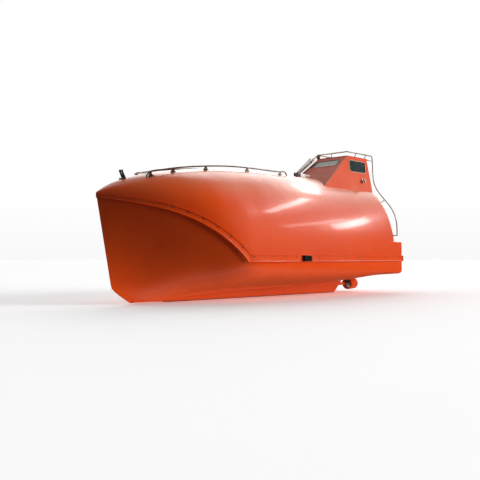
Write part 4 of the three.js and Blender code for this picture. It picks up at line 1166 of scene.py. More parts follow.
# The upper half of the fender's section, from its inner corner outwards: shares of its depth and of its half
# height, then how much of the lip each point gets. The lower half is its mirror image.
FENDER_UPPER = [
    (-0.35, 1, 0), (0.3, 1, 0), (0.75, 1, 0), (0.93, 0.985, 0.5), (1, 0.94, 1), (1, 0.86, 1),
    (0.98, 0.8, 0.85), (0.97, 0.74, 0.25), (0.965, 0.66, 0), (0.95, 0.3, 0),
]
FENDER_SECTION = np.array([
    *FENDER_UPPER, (0.945, 0, 0), *[(depth, -height, lip) for depth, height, lip in FENDER_UPPER[::-1]]])


# The fender's half height and thickness at the stem and along the boat, the distances aft at which it has
# its full thickness and begins to thin again, and its thickness at the stern.
FENDER = {
    "stem_half": 30, "half": 60, "stem_thick": 8, "thick": 50, "full": 1500, "thins": 6300, "stern_thick": 24,
}


def fender_frame(aft):
    """The fender's slope in profile, its thickness, and its half height along the slope."""
    before, after = np.maximum(aft - 4, 0), np.minimum(aft + 4, LENGTH)
    slope_in = np.arctan2(fender_rise(aft) - fender_rise(before), np.maximum(aft - before, 1e-3))
    slope_out = np.arctan2(fender_rise(after) - fender_rise(aft), np.maximum(after - aft, 1e-3))
    slope = np.where(aft < 4, slope_out, np.where(aft > LENGTH - 4, slope_in, (slope_in + slope_out) / 2))
    stem_half, full_half, stem_thick, full_thick, full, thins, stern_thick = FENDER.values()
    half = (stem_half + (full_half - stem_half) * np.minimum(aft / SWEEP_END, 1)) / np.cos(slope_in - slope)
    thick = stem_thick + (full_thick - stem_thick) * np.minimum(aft / full, 1) ** 0.7
    thick = thick - (full_thick - stern_thick) * np.clip((aft - thins) / (LENGTH - thins), 0, 1)
    turn = np.arctan2(BREADTH(after) - BREADTH(before), after - before)
    return slope, half, thick, turn


def fender_points(aft, depth, height, lip=0.0):
    """Points of the fender at a share of its depth and of its half height. Its outer face stands upright."""
    slope, half, thick, turn = fender_frame(aft)
    at = np.maximum(aft - np.sin(slope) * half * height, 0)
    rise = fender_rise(aft) + np.cos(slope) * half * height
    inside = body_points(at, side_breadth(at, rise), rise)
    middle = side_breadth(aft, fender_rise(aft)) + np.cos(turn) * thick
    out = depth * thick + lip
    x = inside[..., 0] + np.sin(turn) * out
    y = inside[..., 1] + depth * (middle - inside[..., 1]) + np.cos(turn) * lip
    return np.stack([x, y, inside[..., 2]], -1)


# Distances aft: closer together where the fender sweeps up to the stem.
FENDER_BOLTS = (
    169, 327, 496, 673, 880, 1085, 1296, 1510, 1720, 1920, 2170, 2400, 2650, 2920, 3190,
    3840, 4155, 4480, 4820, 5160, 5503, 5850, 6211, 6583, 6850,
)


class LIFEBOAT_OT_fender(bpy.types.Operator):
    """Runs the fender from the stem along both sides and across the stern, with its bolts"""

    bl_idname = "lifeboat.fender"
    bl_label = "Fender"

    def execute(self, context):
        lip = sizes().lip / MM
        aft = np.concatenate([
            stations((3, 63, 10), (63, 1750, 35), (1750, 2060, 12), (2064, 2096, 4), (2104, 2200, 24)),
            stations((2250, LENGTH, 75)),
        ])[:, None]
        depth, height, share = FENDER_SECTION.T[:, None]
        grow = 0.15 + 0.85 * np.minimum(aft / 1200, 1)
        rows = fender_points(aft, depth, height, (lip * share - lip) * grow)
        rows[:, :, 1] = np.maximum(rows[:, :, 1], GAP / 2)
        for side, on_side in SIDES:
            laminate(f"fender_{side}", on_side(grid(rows)), sharp=50)

        half, thick = FENDER["half"], FENDER["stern_thick"]
        reach = BREADTH(LENGTH) + thick
        y = np.concatenate([[-reach, -reach + 4, -reach + 12], np.linspace(-900, 900, 25),
                            [reach - 12, reach - 4, reach]])[:, None]
        ends = np.interp(np.abs(y), [reach - 12, reach - 4, reach], [1, 0.985, 0.9])
        x = X(LENGTH) - GAP - (np.clip(depth, 0, 1) * thick + lip * (share - 1)) * ends
        x = np.where(depth < 0, X(LENGTH) - GAP, x)
        laminate("fender_stern", grid(points_of(x, y, Z(height * half * ends))), sharp=50)

        spots = np.array(FENDER_BOLTS, float)
        places = fender_points(spots, 0.96, 0.45, -lip)
        way = unit(np.gradient(fender_points(spots, 1.0, 0.45), axis=0))
        normals = unit(np.cross(way, UPWARD) * (-1, -1, 0))
        normals = normals * np.sign(normals[:, 1:2])
        head = bolt(sizes().bolt_radius / MM)
        steelwork("fender_bolts", both_sides(scattered(head, places, normals)), replaces=())
        stern_spots = points_of(X(LENGTH) - thick + lip + 1, np.linspace(-960, 960, 8), Z(26))
        steelwork("fender_stern_bolts", scattered(head, stern_spots, AFTWARD), replaces=())
        return {"FINISHED"}


class LIFEBOAT_OT_side_stops(bpy.types.Operator):
    """Bolts the rubber stop and the steel plate on each side of the fender"""

    bl_idname = "lifeboat.side_stops"
    bl_label = "Side stops"

    def execute(self, context):
        face = BREADTH(3500.0) + FENDER["thick"]

        def bar(ahead, aft, inner, outer, half, edge):
            return block((X(aft), face + inner, Z(-half)), (X(ahead), face + outer, Z(half)), edge)

        ribs = [bar(ahead, ahead + 4, 20, 34.5, 44, 1.5) for ahead in (3400, 3424, 3448)]
        stop = joined(bar(3372, 3490, -6, 9, 50, 3), bar(3382, 3480, 4, 34, 42, 9), *ribs)
        corners = [(X(aft), face + 9, Z(height)) for aft in (3506, 3608) for height in (-40, 40)]
        steel = joined(bar(3498, 3616, -6, 10, 50, 3), bar(3551, 3563, 6, 23.5, 44, 2),
                       scattered(bolt(6), corners, TO_PORT))
        for side, on_side in SIDES:
            piece(f"side_stop_{side}", on_side(stop), "black_plastic", "rubber")
            steelwork(f"side_plate_{side}", on_side(steel))
        return {"FINISHED"}


GRAB_Y = 280
GRAB_RISE = 62
GRAB_POSTS = (830, 1270, 1980, 2990, 3890)
GRAB_LINE = (790, 1050, 1270, 1980, 2990, 3890, 4040)
GRAB_START_TO_STARBOARD = 985
CROSS_AFT = 930


def grab_point(aft, above=GRAB_RISE):
    return body_points(float(aft), GRAB_Y, canopy_height(aft, GRAB_Y) + above)


def canopy_normal(aft, half):
    """The canopy's upward normal, from the slopes of its height across and along."""
    ahead, behind, outside, inside = (
        body_points(aft + a, half + h, canopy_height(aft + a, half + h))
        for a, h in ((-5, 0), (5, 0), (0, 5), (0, -5)))
    normal = unit(np.cross(outside - inside, behind - ahead))
    return normal * np.sign(normal[2])


def rail_foot(aft):
    """A gusset wide at its foot, its base pad that follows the canopy, and two bolts."""
    top = grab_point(aft)
    ground = grab_point(aft, 0)
    normal = canopy_normal(aft, GRAB_Y)
    low = -GRAB_RISE - 14
    gusset = [(-48, low), (48, low), (48, low + 22), (13, -4), (-13, -4), (-48, low + 22)]
    web = placed(plate(gusset, -5, 5, 1.5), top, TO_PORT, AFTWARD)
    pad_outline = rounded(oblong(60, 26), 12)
    pad = placed(plate(pad_outline, -6, 5, 1.5), ground, normal, FORWARD)
    spots = [ground + (dx, dy, 0) for dx in (-40, 40) for dy in (-16, 16)]
    spots = [s + normal * (((ground - s) @ normal) + 5) for s in spots]
    return joined(web, pad, scattered(bolt(5, 8), spots, normal))


class LIFEBOAT_OT_grab_rails(bpy.types.Operator):
    """Bends the hand rails along the canopy, with their feet and the cross tube"""

    bl_idname = "lifeboat.grab_rails"
    bl_label = "Grab rails"

    def execute(self, context):
        rear = GRAB_LINE[-1]
        for (side, on_side), first in zip(SIDES, (GRAB_LINE[0], GRAB_START_TO_STARBOARD)):
            along = [grab_point(aft) for aft in GRAB_LINE if aft > first]
            line = [grab_point(first - 55, -15), grab_point(first), *along, grab_point(rear + 50, -15)]
            feet = [max(GRAB_POSTS[0], first), *GRAB_POSTS[1:]]
            rail = joined(tube(curve(line, 150), 13, 16), *[rail_foot(aft) for aft in feet])
            steelwork(f"grab_rail_{side}", on_side(rail))
        x, _, z = grab_point(CROSS_AFT)
        reach = GRAB_Y - 12
        steelwork("grab_rail_cross", rod((x, -reach, z), (x, reach, z), 11))
        return {"FINISHED"}


RAIL_LIFT = 88
RAIL_END = 6790
RAIL_FRONT = ROOF["front"] + 12
RAIL_HALF = ROOF["half"] + 5
# Columns: distance aft and distance to port of a post's foot, and its lean outwards.
ROOF_POSTS = (
    (RAIL_FRONT + 25, -RAIL_HALF + 30, -30), (RAIL_FRONT + 15, -28, 0),
    (6235, RAIL_HALF - 45, 45), (6235, -RAIL_HALF + 30, -30),
    (6600, RAIL_HALF - 35, 30), (6600, -RAIL_HALF + 35, -30),
)
LEG = {"aft": 5030, "y": -585, "bend": 1500, "foot": 1300}


def roof_post(aft, y, lean):
    """A post with its round base and four screws."""
    foot = np.array((X(aft), y, Z(ROOF["z"])))
    base = placed(disc(24, 9, 2.5), foot - (0, 0, 1))
    post = rod(foot, foot + (0, lean, RAIL_LIFT), 9)
    spots = [foot + (16 * np.cos(a), 16 * np.sin(a), 7) for a in np.arange(4) * QUARTER + FIRST_SCREW]
    return joined(base, post, scattered(bolt(3, 8), spots, UPWARD))


class LIFEBOAT_OT_tower_rail(bpy.types.Operator):
    """Bends the rail round the tower's roof and down its front edge, with the radar reflector on it"""

    bl_idname = "lifeboat.tower_rail"
    bl_label = "Tower rail"

    def execute(self, context):
        z = Z(ROOF["z"] + RAIL_LIFT)
        front, end = X(RAIL_FRONT), X(RAIL_END)
        corners = [(end, RAIL_HALF, z), (front, RAIL_HALF, z), (front, -RAIL_HALF, z), (end, -RAIL_HALF, z)]
        loop = route(corners, 45)
        top = np.array((front, -RAIL_HALF, z))
        knee = np.array((X(LEG["aft"]), LEG["y"], Z(LEG["bend"])))
        foot_z = Z(canopy_height(LEG["aft"], LEG["y"]))
        leg = route([top + (8, 6, -2), knee, (knee[0], knee[1], foot_z - 12)], 40)
        pad = placed(disc(36, 12, 3), (knee[0], knee[1], foot_z - 4), canopy_normal(LEG["aft"], LEG["y"]))
        offset = np.array((36, 42, -6))
        clips = []
        for t in (0.24, 0.72):
            on_leg = top + (knee - top) * t
            clips.append(rod(on_leg, on_leg + offset * 0.35, 8))
            clips.append(placed(collar(36, 31.6, -9, 9, 1), on_leg + offset, knee - top))
        posts = [roof_post(*post) for post in ROOF_POSTS]
        steelwork("tower_rail", joined(tube(loop, 13, 16), tube(leg, 13, 16), pad, *clips, *posts))

        start, stop = (top + (knee - top) * t + offset for t in (0.14, 0.84))
        reach = np.linalg.norm(stop - start)
        end = [(0, 0), (25, 0), (30, 5), (31, 12), (31, 40), (29.5, 42), (29.5, 46), (31, 48)]
        profile = [*end, *[(radius, reach - height) for radius, height in end[::-1]]]
        reflector = placed(turned(profile, 28), start, stop - start)
        piece("reflector_tube", reflector, "white_plastic")
        clamp_at = top + (-5, 12, -52)
        clamp = joined(block(clamp_at - (34, 26, 30), clamp_at + (30, 26, 34), 7),
                       placed(collar(12.9, 10, -34, 34, 1), top + (0, 34, 0), TO_PORT))
        piece("reflector_clamp", clamp, "black_plastic", replaces=())
        return {"FINISHED"}


AFT_RAIL = [
    (6806, 385, 2225), (6828, 390, 2198), (6832, 420, 1750), (6842, 505, 1490), (6835, 700, 1260),
    (6815, 880, 1060), (6785, 985, 890), (6765, 1035, 740), (6755, 1050, 560), (6755, 1050, 470),
]
# Its short arms: from the rail to the body's surface, with the surface's outward direction there and
# the radius of the arm's pad.
AFT_ARMS = [
    ((6835, 705, 1254), (6746, 662, 1179), (-0.76, 0.51, 0.4), 26),
    ((6756, 1049, 480), (6702, 989, 480), (-0.33, 0.93, 0.18), 26),
    ((6829, 391, 2118), (6651, 369, 2118), AFTWARD, 13),
]


class LIFEBOAT_OT_aft_rails(bpy.types.Operator):
    """Bends the rails down the after corners of the canopy, with their arms and pads"""

    bl_idname = "lifeboat.aft_rails"
    bl_label = "Aft rails"

    def execute(self, context):
        def in_boat(point):
            return np.array((X(point[0]), point[1], Z(point[2])))

        parts = [tube(curve([in_boat(p) for p in AFT_RAIL], 90), 11, 14)]
        for outer, inner, normal, pad in AFT_ARMS:
            parts.append(rod(in_boat(outer), in_boat(inner) - unit(normal) * 8, 9))
            parts.append(placed(disc(pad, 9, 2.5), in_boat(inner) - unit(normal) * 4, normal))
        for side, on_side in SIDES:
            steelwork(f"aft_rail_{side}", on_side(joined(*parts)))
        return {"FINISHED"}


class LIFEBOAT_OT_bow_clevis(bpy.types.Operator):
    """Bolts the tow clevis on the bow"""

    bl_idname = "lifeboat.bow_clevis"
    bl_label = "Bow clevis"

    def execute(self, context):
        aft, lean, gap = 535, 62, 27
        x, _, z = body_points(float(aft), 0, canopy_height(aft, 0) - 40)
        side = np.concatenate([
            [(-20, 0), (22, 0), (lean + 17, 118)], arc((lean, 126), 17, 0, 180), [(lean - 18, 112)]])
        parts = [block((x - 62, -55, z + 10), (x + 62, 55, z + 42), 4)]
        for y in (-gap, gap):
            parts.append(on_edge(plate(side, -6, 6, 2), (x, y, z + 30)))
            pin = np.array((x + lean, y, z + 156))
            parts.append(rod(pin, pin + (0, np.sign(y) * 14, 0), 11, 2))
        parts.append(rod((x + lean, -gap, z + 156), (x + lean, gap, z + 156), 9))
        spots = [(x + dx, dy, z + 42) for dx in (-48, 48) for dy in (-42, 42)]
        parts.append(scattered(bolt(7, 6), spots, UPWARD))
        piece("bow_tow_clevis", joined(*parts), "black_steel", "black_paint")
        return {"FINISHED"}


MAST = {"aft": 4712, "z": 1690, "length": 575, "lean": 36.8}


class LIFEBOAT_OT_mast(bpy.types.Operator):
    """Stands the folding mast in its bracket"""

    bl_idname = "lifeboat.mast"
    bl_label = "Mast"

    def execute(self, context):
        x, z = X(MAST["aft"]), Z(MAST["z"])
        low = Z(canopy_height(MAST["aft"], 0)) - 10
        base = block((x - 60, -52, low), (x + 60, 52, Z(1628)), 3)
        ear = rounded([(-26, low - z), (26, low - z), (26, 24), (-26, 24)], (2, 2, 22, 22))
        parts = [base]
        for y in (-34, 34):
            parts.append(on_edge(plate(ear, -6, 6, 2), (x, y, z)))
            way = np.sign(y)
            parts.append(rod((x, y + 6 * way, z), (x, y + 14 * way, z), 15, 2, 6))
        spots = [(x + dx, dy, Z(1628)) for dx in (-46, 46) for dy in (-38, 38)]
        parts.append(scattered(bolt(5, 6), spots, UPWARD))
        piece("mast_bracket", joined(*parts), "black_steel", "black_paint")

        lean = np.radians(90 - MAST["lean"])
        way = np.array((-np.sin(lean), 0, np.cos(lean)))
        foot = np.array((x, 0, z))
        reach = MAST["length"]
        profile = [(0, 12), (11, 12), (11, reach - 62), (13, reach - 60), (15, reach - 58), (15, reach - 4),
                   (12, reach), (0, reach)]
        pole = placed(turned(profile, 18), foot, way)
        hub = joined(rod((x, -20, z), (x, 20, z), 19, 2), rod((x, -44, z), (x, 44, z), 8, 1.5))
        steelwork("mast_pole", joined(pole, hub), body="mast")
        return {"FINISHED"}


LAMP = {"front": 4785, "aft": 4955, "half": 60, "top": 1692, "radius": 24, "y": 20, "z": 1670}


class LIFEBOAT_OT_lamp(bpy.types.Operator):
    """Sets the lamp and its box before the tower"""

    bl_idname = "lifeboat.lamp"
    bl_label = "Lamp"

    def execute(self, context):
        front, aft, half, top = (LAMP[key] for key in ("front", "aft", "half", "top"))
        foot = canopy_height((front + aft) / 2, half) - 6
        box = slab((front, aft), half, (foot, top), 8)
        lid = slab((front - 4, aft + 4), half + 4, (top - 26, top - 20), 2.5)
        profile = [(0, 0), (20, 0), (20, 42), (24, 44), (24, 50), (21, 52), (21, 126), (24, 128), (24, 152),
                   (20, 159), (0, 160)]
        body = placed(turned(profile, 24), (X(aft - 20), LAMP["y"], Z(LAMP["z"])), AFTWARD)
        piece("canopy_lamp", joined(box, lid, body), "white_plastic")
        return {"FINISHED"}


VENT = {"aft": 6327, "z": 1632}


class LIFEBOAT_OT_side_vents(bpy.types.Operator):
    """Fits the two-part vents on the tower's sides"""

    bl_idname = "lifeboat.side_vents"
    bl_label = "Side vents"

    def execute(self, context):
        half = ROOF["half"] + (ROOF["z"] - VENT["z"]) * TOWER_LEAN

        def at(out, up, ahead=0):
            return np.array((X(VENT["aft"]) + ahead, half + out, Z(VENT["z"] + up)))

        tilt = at(9, 2.2) - at(0, 0)
        flange = placed(disc(38, 11, 3), at(-2, -1), tilt)
        stem = rod(at(0, 0), at(50, 5, 2), 17)
        knobs = [(0, 0), (17, 1), (23, 5), (25, 12), (25, 46), (23, 53), (15, 57), (15, 62), (20, 66),
                 (21, 71), (21, 88), (19, 94), (14, 97), (0, 97.5)]
        low, high = at(56, -44, -12), at(40, 48, 16)
        cap = placed(turned(knobs, 24), low, high - low)
        around = np.arange(4)[:, None] * QUARTER + FIRST_SCREW
        circle = np.cos(around) * FORWARD + np.sin(around) * unit(np.cross(tilt, FORWARD))
        spots = at(0, 0) + unit(tilt) * 9 + 29 * circle
        vent = joined(flange, stem, cap, scattered(bolt(3.5, 8), spots, tilt))
        for side, on_side in SIDES:
            piece(f"side_vent_{side}", on_side(vent), "stainless_steel", "white_plastic")
        return {"FINISHED"}


DOOR = {"half": 350, "low": 385, "high": 1285, "thick": 45, "gap": 6}
HINGE = {"y": -372, "aft": 6932}
HINGES = (("lower", 560), ("upper", 1110))


class LIFEBOAT_OT_door(bpy.types.Operator):
    """Hangs the after door, with its raised border, seal, hinges and lever"""

    bl_idname = "lifeboat.door"
    bl_label = "Door"

    def execute(self, context):
        near = X(TRUNK["aft"]) - DOOR["gap"]
        far = near - DOOR["thick"]
        middle_z = Z((DOOR["low"] + DOOR["high"]) / 2)
        tall = (DOOR["high"] - DOOR["low"]) / 2

        def ring(inset):
            return rounded(oblong(DOOR["half"] - inset, tall - inset), max(70 - inset, 24), 8)

        def on_door(shape):
            return facing_aft(shape, (near, 0, middle_z))

        thick = DOOR["thick"]
        levels = [(0, 1), (0, 8), (4, thick - 16), (7, thick - 8), (14, thick - 2), (24, thick), (38, thick),
                  (46, thick - 3), (51, thick - 10), (57, thick - 13), (66, thick - 14)]
        rows = [at_height(ring(inset), z) for inset, z in levels]
        rows += [rows[-1] * (share, share, 1) for share in (0.9, 0.5, 0.08)]
        laminate("door_panel", on_door(grid(rows)), body="door")
        seal = bead(ring(46), [(-9, -3.8), (-9, 0.7), (9, 0.7), (9, -3.8)])
        piece("door_seal", on_door(seal), "black_plastic", "rubber", replaces=(), body="door")

        pin_x, pin_y = X(HINGE["aft"]), HINGE["y"]
        for name, level in HINGES:
            z = Z(level)
            leaf_outline = rounded([(0, -28), (190, -28), (190, 28), (0, 28)], (4, 22, 22, 4))
            leaf = facing_aft(plate(leaf_outline, 0, 8.4, 1.5), (far - 0.5, pin_y, z))
            strap = block((far - 8.9, pin_y - 10, z - 28), (pin_x + 4, pin_y + 10, z + 28), 3)
            pin = rod((pin_x, pin_y, z - 60), (pin_x, pin_y, z + 60), 11, 2)
            spots = [(far - 8.5, pin_y + dy, z + dz) for dy, dz in ((70, -12), (70, 12), (120, 0), (165, 0))]
            heads = scattered(bolt(6, 10), spots, AFTWARD)
            steelwork(f"door_hinge_{name}", joined(leaf, strap, pin, heads), body="door")
            face = X(TRUNK["aft"])
            base = block((face - 8, pin_y - 60, Z(level + 63)), (face + 3, pin_y + 14, Z(level + 100)), 2)
            arm = block((pin_x - 12, pin_y - 14, Z(level + 63)), (face - 2, pin_y + 14, Z(level + 100)), 4)
            spots = [(face - 8, pin_y - 46, Z(level + up)) for up in (72, 91)]
            steelwork(f"door_knuckle_{name}", joined(base, arm, scattered(bolt(4, 8), spots, AFTWARD)))

        y = pin_y + 2 * DOOR["half"] - 45
        z = Z(840)
        hub = joined(placed(disc(30, 8, 2), (far - 0.2, y, z), AFTWARD),
                     rod((far, y, z), (far - 34, y, z), 15, 3))
        lever_outline = np.concatenate([arc((0, 0), 15, 0, 180), arc((0, -140), 10, 180, 360)])
        lever = facing_aft(plate(lever_outline, 0, 12, 3), (far - 21.7, y, z))
        steelwork("door_handle", joined(hub, lever), body="door")
        return {"FINISHED"}


class LIFEBOAT_OT_release_lug(bpy.types.Operator):
    """Bolts the release lug on the transom"""

    bl_idname = "lifeboat.release_lug"
    bl_label = "Release lug"

    def execute(self, context):
        x, z = X(LENGTH) - 10, Z(-190)
        base = facing_aft(plate(rounded(oblong(70, 95), 16), 0, 12, 2.5), (X(LENGTH) - 0.2, 0, z))
        profile = [(22, -12), (44, -12), (48, -8), (48, 8), (44, 12), (26, 12), (22, 8), (22, -12)]
        eye = placed(turned(profile, 32), (x - 60, 0, z), TO_PORT)
        webs = [block((x - 46, -12, z + a), (x + 4, 12, z + b), 3) for a, b in ((-66, -26), (26, 66))]
        webs.append(block((x - 30, -12, z - 60), (x + 4, 12, z + 60), 3))
        spots = [(X(LENGTH) - 12, dy, z + dz) for dy in (-50, 50) for dz in (-72, 0, 72)]
        steelwork("release_lug", joined(base, eye, *webs, scattered(bolt(8, 6), spots, AFTWARD)))
        return {"FINISHED"}


def blade(turn):
    """A screw blade: lens-shaped sections from the hub to a rounded tip, turned flatter towards the tip."""
    t = np.linspace(0, 1, 15)[:, None]
    angle = np.linspace(0, TAU, 22, endpoint=False)
    radius = 16 + (BLADE_TIP - 16) * t
    pitch = np.radians(62 - 36 * t)
    chord = BLADE_TIP * (0.24 + 0.31 * np.sin(np.pi * (0.12 + 0.72 * t)))
    chord = chord * np.sqrt(np.maximum(1 - (t * 0.985) ** 8, 0.01))
    thick = 4.2 - 2.8 * t
    c = chord / 2 * np.cos(angle)
    n = thick * np.sin(angle) * (1 - 0.3 * np.cos(angle))
    x = c * np.cos(pitch + 0.5) * 0.62 - n * np.sin(pitch)
    y = c * np.sin(pitch) * 0.9 + n * np.cos(pitch)
    across, up = y * np.cos(turn) - radius * np.sin(turn), y * np.sin(turn) + radius * np.cos(turn)
    return grid(points_of(x, across, up))


class LIFEBOAT_OT_drive(bpy.types.Operator):
    """Fits the stern tube, the shaft and the screw"""

    bl_idname = "lifeboat.drive"
    bl_label = "Drive"

    def execute(self, context):
        z = Z(SHAFT_Z)
        profile = [(0, 0), (27, 0), (30, 4), (30, 560), (28, 566), (28, 604), (25, 609), (17, 610),
                   (16.5, 560), (0, 560)]
        laminate("stern_tube", placed(turned(profile, 24), (X(5720), 0, z), AFTWARD))
        middle = np.array((X(SCREW_AFT), 0, z))
        steelwork("propeller_shaft", rod(middle + (800, 0, 0), middle + (24.3, 0, 0), 15), body="screw")
        hub = [(0, -24), (20, -24), (24, -20), (25.5, 0), (25, 22), (22, 30), (16, 44), (9, 54), (0, 58)]
        blades = [placed(blade(turn), middle) for turn in np.arange(4) * QUARTER]
        wheel = joined(placed(turned(hub, 28), middle, AFTWARD), *blades)
        piece("propeller", wheel, "bronze", body="screw")
        return {"FINISHED"}


class LIFEBOAT_OT_nozzle(bpy.types.Operator):
    """Hangs the steering nozzle with its liner on its stock"""

    bl_idname = "lifeboat.nozzle"
    bl_label = "Nozzle"

    def execute(self, context):
        middle = np.array((X(SCREW_AFT), 0, Z(SHAFT_Z)))
        front, aft = SCREW_AFT - NOZZLE["front"], SCREW_AFT - NOZZLE["aft"]
        outer, inner = NOZZLE["outer"], NOZZLE["inner"]
        outside = curve([
            (inner + 18, front - 0.5), (outer - 9, front - 5), (outer - 1.5, front - 24), (outer, front - 52),
            (outer - 7, aft + 74), (outer - 14, aft + 8)], 24)
        lip = arc((inner + 14, aft + 8), 8, 0, -180, 8)
        inside = curve([
            (inner + 6, aft + 8), (inner + 0.6, aft + 34), (inner, aft + 60), (inner, front - 66),
            (inner + 4, front - 34), (inner + 11, front - 6), (inner + 18, front - 0.5)], 22)
        ring = turned(np.concatenate([outside, lip, inside]), 56)
        pad = block((-40, -30, outer - 14), (40, 30, outer + 4), 5)
        laminate("steering_nozzle", placed(joined(placed(ring, z=FORWARD), pad), middle), body="nozzle")
        liner = collar(inner - GAP, inner - 5, aft + 32, front - 62, 1, 56)
        steelwork("nozzle_liner", placed(liner, middle, FORWARD), body="nozzle")
        stock = rod(middle + (0, 0, outer + 4 + GAP), middle + (0, 0, 519), 22)
        steelwork("nozzle_stock", stock, body="nozzle")
        profile = [(24, -26), (40, -26), (43, -22), (43, -8), (70, -4), (72, 0), (72, 14), (24, 14),
                   (24, -26)]
        foot = (middle[0], 0, Z(hull_underside(SCREW_AFT, 30)))
        steelwork("stock_gland", placed(turned(profile, 32), foot), replaces=())
        return {"FINISHED"}


class LIFEBOAT_OT_inside(bpy.types.Operator):
    """Fits the engine, the helm seat, the console and the wheel"""

    bl_idname = "lifeboat.inside"
    bl_label = "Inside"

    def execute(self, context):
        engine = joined(
            slab((4955, 5745), 240, (-285, -30), 30),
            slab((5060, 5640), 190, (-60, 170), 26),
            slab((5120, 5560), 120, (150, 255), 18),
            *[rod((X(a), 188, Z(60)), (X(a), 262, Z(60)), 34, 6) for a in (5160, 5280, 5400, 5520)],
        )
        piece("engine_block", engine, "grey_paint")
        seat = joined(
            slab((6020, 6420), 190, (1120, 1190), 28),
            slab((6402, 6470), 180, (1130, 1640), 28),
            rod((X(6220), 0, Z(660)), (X(6220), 0, Z(1130)), 40, 6),
        )
        piece("helm_seat", seat, "black_plastic")
        console = joined(slab((5470, 5620), 230, (1180, 1560), 18), slab((5500, 5600), 60, (760, 1190), 10))
        piece("helm_console", console, "grey_paint")
        x, z = X(5670), Z(1440)
        angle = np.linspace(0, TAU, 40, endpoint=False)[:, None]
        around = np.linspace(0, TAU, 12, endpoint=False)
        reach = 130 + 10 * np.cos(around)
        rows = points_of(x + 10 * np.sin(around), reach * np.cos(angle), z + reach * np.sin(angle))
        hoop = grid(np.concatenate([rows, rows[:1]]), start=False, end=False)
        spokes = [rod((x, 0, z), (x, 128 * np.cos(a), z + 128 * np.sin(a)), 8)
                  for a in np.arange(3) * TAU / 3 + QUARTER]
        hub = rod((X(5620) - GAP, 0, z), (x - 8, 0, z), 22, 3)
        piece("helm_wheel", joined(hoop, *spokes, hub), "black_plastic")
        return {"FINISHED"}


FLOOR_HALF = 300
CAMERA_AT = (9.4426, 8.7326, 0.150)
CAMERA_LOOKS = (-0.7193, -0.6947)
CAMERA_PITCH = 1.52
CAMERA_LENS = 51.75
# Suns, which the gelcoat doesn't mirror: name, direction towards it, strength and angle across.
SUNS = [
    ("key", (-0.7, 0.68, 0.2), 3.8, 0.7),
    ("ground", (-0.5, 0.05, -0.86), 2.5, 1.0),
]
# Softboxes that the gelcoat mirrors: name, place, target, width and height, and radiance.
SOFTBOXES = [
    ("low_streak", (-5.0, 2.5, 2.28), (-1.5, 1.08, 0.8), (1.3, 0.4), 12),
    ("low_streak_fore", (-4.9, 3.6, 2.9), (-0.3, 1.11, 0.78), (2.4, 0.2), 6),
    ("high_streak", (-2.8, 2.2, 3.3), (0.2, 0.97, 1.1), (2.0, 0.26), 13),
    ("tower_patch", (-3.9, 0.03, 3.8), (-0.8, 0.66, 1.46), (1.2, 0.55), 10),
]
# The room's even radiance, and its broad glows: direction, where it begins as the cosine off that direction,
# and radiance.
ROOM = 0.04
GLOWS = [
    ((-0.79, -0.49, 0.37), 0.82, 3.3),
    ((-0.86, 0.1, 0.5), 0.9, 0.8),
    ((0.3, -0.75, 0.6), 0.6, 1.5),
]


def aim(made, way):
    """Turns a light or the camera so that it looks that way."""
    made.rotation_mode = "QUATERNION"
    made.rotation_quaternion = way.to_track_quat("-Z", "Y")


def softbox(name, place, target, size, radiance):
    """A rectangular lamp that faces its target, and that is seen only mirrored."""
    data = bpy.data.lights.new(name, "AREA")
    data.shape = "RECTANGLE"
    data.size, data.size_y = size
    data.energy = radiance * np.pi * size[0] * size[1]
    lamp = linked(name, data)
    lamp.location = place
    aim(lamp, Vector(target) - Vector(place))
    lamp.visible_diffuse = lamp.visible_camera = False


def surroundings():
    """A dim room with broad glows astern of the boat and high to starboard of it. The backdrop that the
    camera sees passes from the floor's tone into white."""
    world = bpy.data.worlds.new("surroundings")
    world.use_nodes = True
    world.node_tree.nodes.clear()
    tree = world.node_tree
    way = node(tree, "ShaderNodeTexCoord").outputs["Generated"]
    rise = node(tree, "ShaderNodeSeparateXYZ", {"Vector": way}).outputs["Z"]
    room = ROOM
    for towards, begins, radiance in GLOWS:
        inputs = {0: way, 1: tuple(unit(towards).tolist())}
        facing = node(tree, "ShaderNodeVectorMath", inputs, operation="DOT_PRODUCT").outputs["Value"]
        glow = between(tree, facing, begins, 1.0, 0, radiance)
        room = node(tree, "ShaderNodeMath", {0: glow, 1: room}, operation="ADD").outputs[0]
    backdrop = between(tree, rise, 0.0, 0.1, 0.95, 1.0)
    ray = node(tree, "ShaderNodeLightPath").outputs["Is Camera Ray"]
    dim = node(tree, "ShaderNodeBackground", {"Color": (1, 1, 1, 1), "Strength": room}).outputs[0]
    bright = node(tree, "ShaderNodeBackground", {"Color": (1, 1, 1, 1), "Strength": backdrop}).outputs[0]
    both = node(tree, "ShaderNodeMixShader", {0: ray, 1: dim, 2: bright}).outputs[0]
    node(tree, "ShaderNodeOutputWorld", {"Surface": both})
    return world


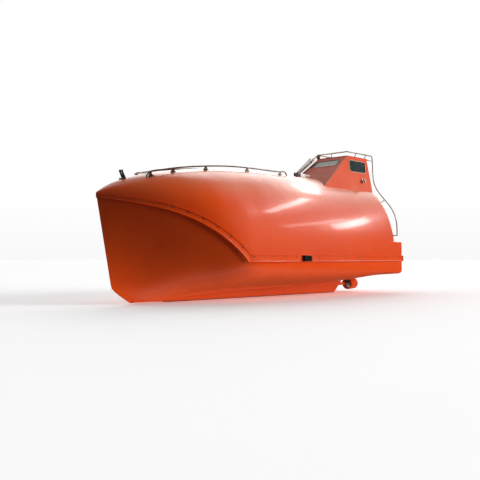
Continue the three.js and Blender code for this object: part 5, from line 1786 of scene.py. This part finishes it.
class LIFEBOAT_OT_stage(bpy.types.Operator):
    """Sets the floor, the lights, the surroundings and the camera"""

    bl_idname = "lifeboat.stage"
    bl_label = "Stage"

    def execute(self, context):
        scene = context.scene
        mesh = bpy.data.meshes.new("floor")
        corners = [(x, y, -sizes().floor) for x, y in oblong(FLOOR_HALF, FLOOR_HALF)]
        mesh.from_pydata(corners, [], [(0, 1, 2, 3)])
        mesh.materials.append(material("studio_floor"))
        floor = linked("floor", mesh)
        # The floor glows faintly, but the boat isn't lit by it, because its bow is dark in the photo. It
        # also lets the light from below through.
        floor.visible_diffuse = floor.visible_glossy = floor.visible_shadow = False

        for name, towards, strength, angle in SUNS:
            data = bpy.data.lights.new(name, "SUN")
            data.energy, data.angle = strength, angle
            sun = linked(name, data)
            aim(sun, -Vector(towards))
            sun.visible_glossy = False
        for box in SOFTBOXES:
            softbox(*box)
        scene.world = surroundings()
        scene.view_settings.view_transform = "Standard"

        data = bpy.data.cameras.new("camera")
        data.lens = CAMERA_LENS
        data.sensor_width = 36
        data.clip_end = 1000
        camera = scene.camera = linked("camera", data)
        camera.location = CAMERA_AT
        pitch = np.radians(CAMERA_PITCH)
        x, y = np.array(CAMERA_LOOKS) * np.cos(pitch)
        aim(camera, Vector((x, y, np.sin(pitch))))
        return {"FINISHED"}


OPERATORS = (
    LIFEBOAT_OT_hull, LIFEBOAT_OT_keel, LIFEBOAT_OT_canopy, LIFEBOAT_OT_tower, LIFEBOAT_OT_windows,
    LIFEBOAT_OT_fender, LIFEBOAT_OT_side_stops, LIFEBOAT_OT_grab_rails, LIFEBOAT_OT_tower_rail,
    LIFEBOAT_OT_aft_rails, LIFEBOAT_OT_bow_clevis, LIFEBOAT_OT_mast, LIFEBOAT_OT_lamp,
    LIFEBOAT_OT_side_vents, LIFEBOAT_OT_door, LIFEBOAT_OT_release_lug, LIFEBOAT_OT_drive,
    LIFEBOAT_OT_nozzle, LIFEBOAT_OT_inside, LIFEBOAT_OT_stage,
)


class LIFEBOAT_PT_panel(bpy.types.Panel):
    """Lists the boat's pieces, sizes and finishes"""

    bl_label = "Lifeboat"
    bl_idname = "LIFEBOAT_PT_panel"
    bl_space_type = "VIEW_3D"
    bl_region_type = "UI"
    bl_category = "Lifeboat"

    def draw(self, context):
        for operator in OPERATORS:
            self.layout.operator(operator.bl_idname)
        for group in (sizes(), finishes()):
            for name in group.__annotations__:
                self.layout.prop(group, name)


CLASSES = (LIFEBOAT_PG_sizes, LIFEBOAT_PG_finishes, *OPERATORS, LIFEBOAT_PT_panel)


def register():
    for cls in CLASSES:
        bpy.utils.register_class(cls)
    bpy.types.Scene.lifeboat_sizes = PointerProperty(type=LIFEBOAT_PG_sizes)
    bpy.types.Scene.lifeboat_finishes = PointerProperty(type=LIFEBOAT_PG_finishes)


def unregister():
    del bpy.types.Scene.lifeboat_finishes
    del bpy.types.Scene.lifeboat_sizes
    for cls in reversed(CLASSES):
        bpy.utils.unregister_class(cls)


def main():
    register()
    for operator in OPERATORS:
        getattr(bpy.ops.lifeboat, operator.bl_idname.split(".")[1])()


if __name__ == "__main__":
    main()
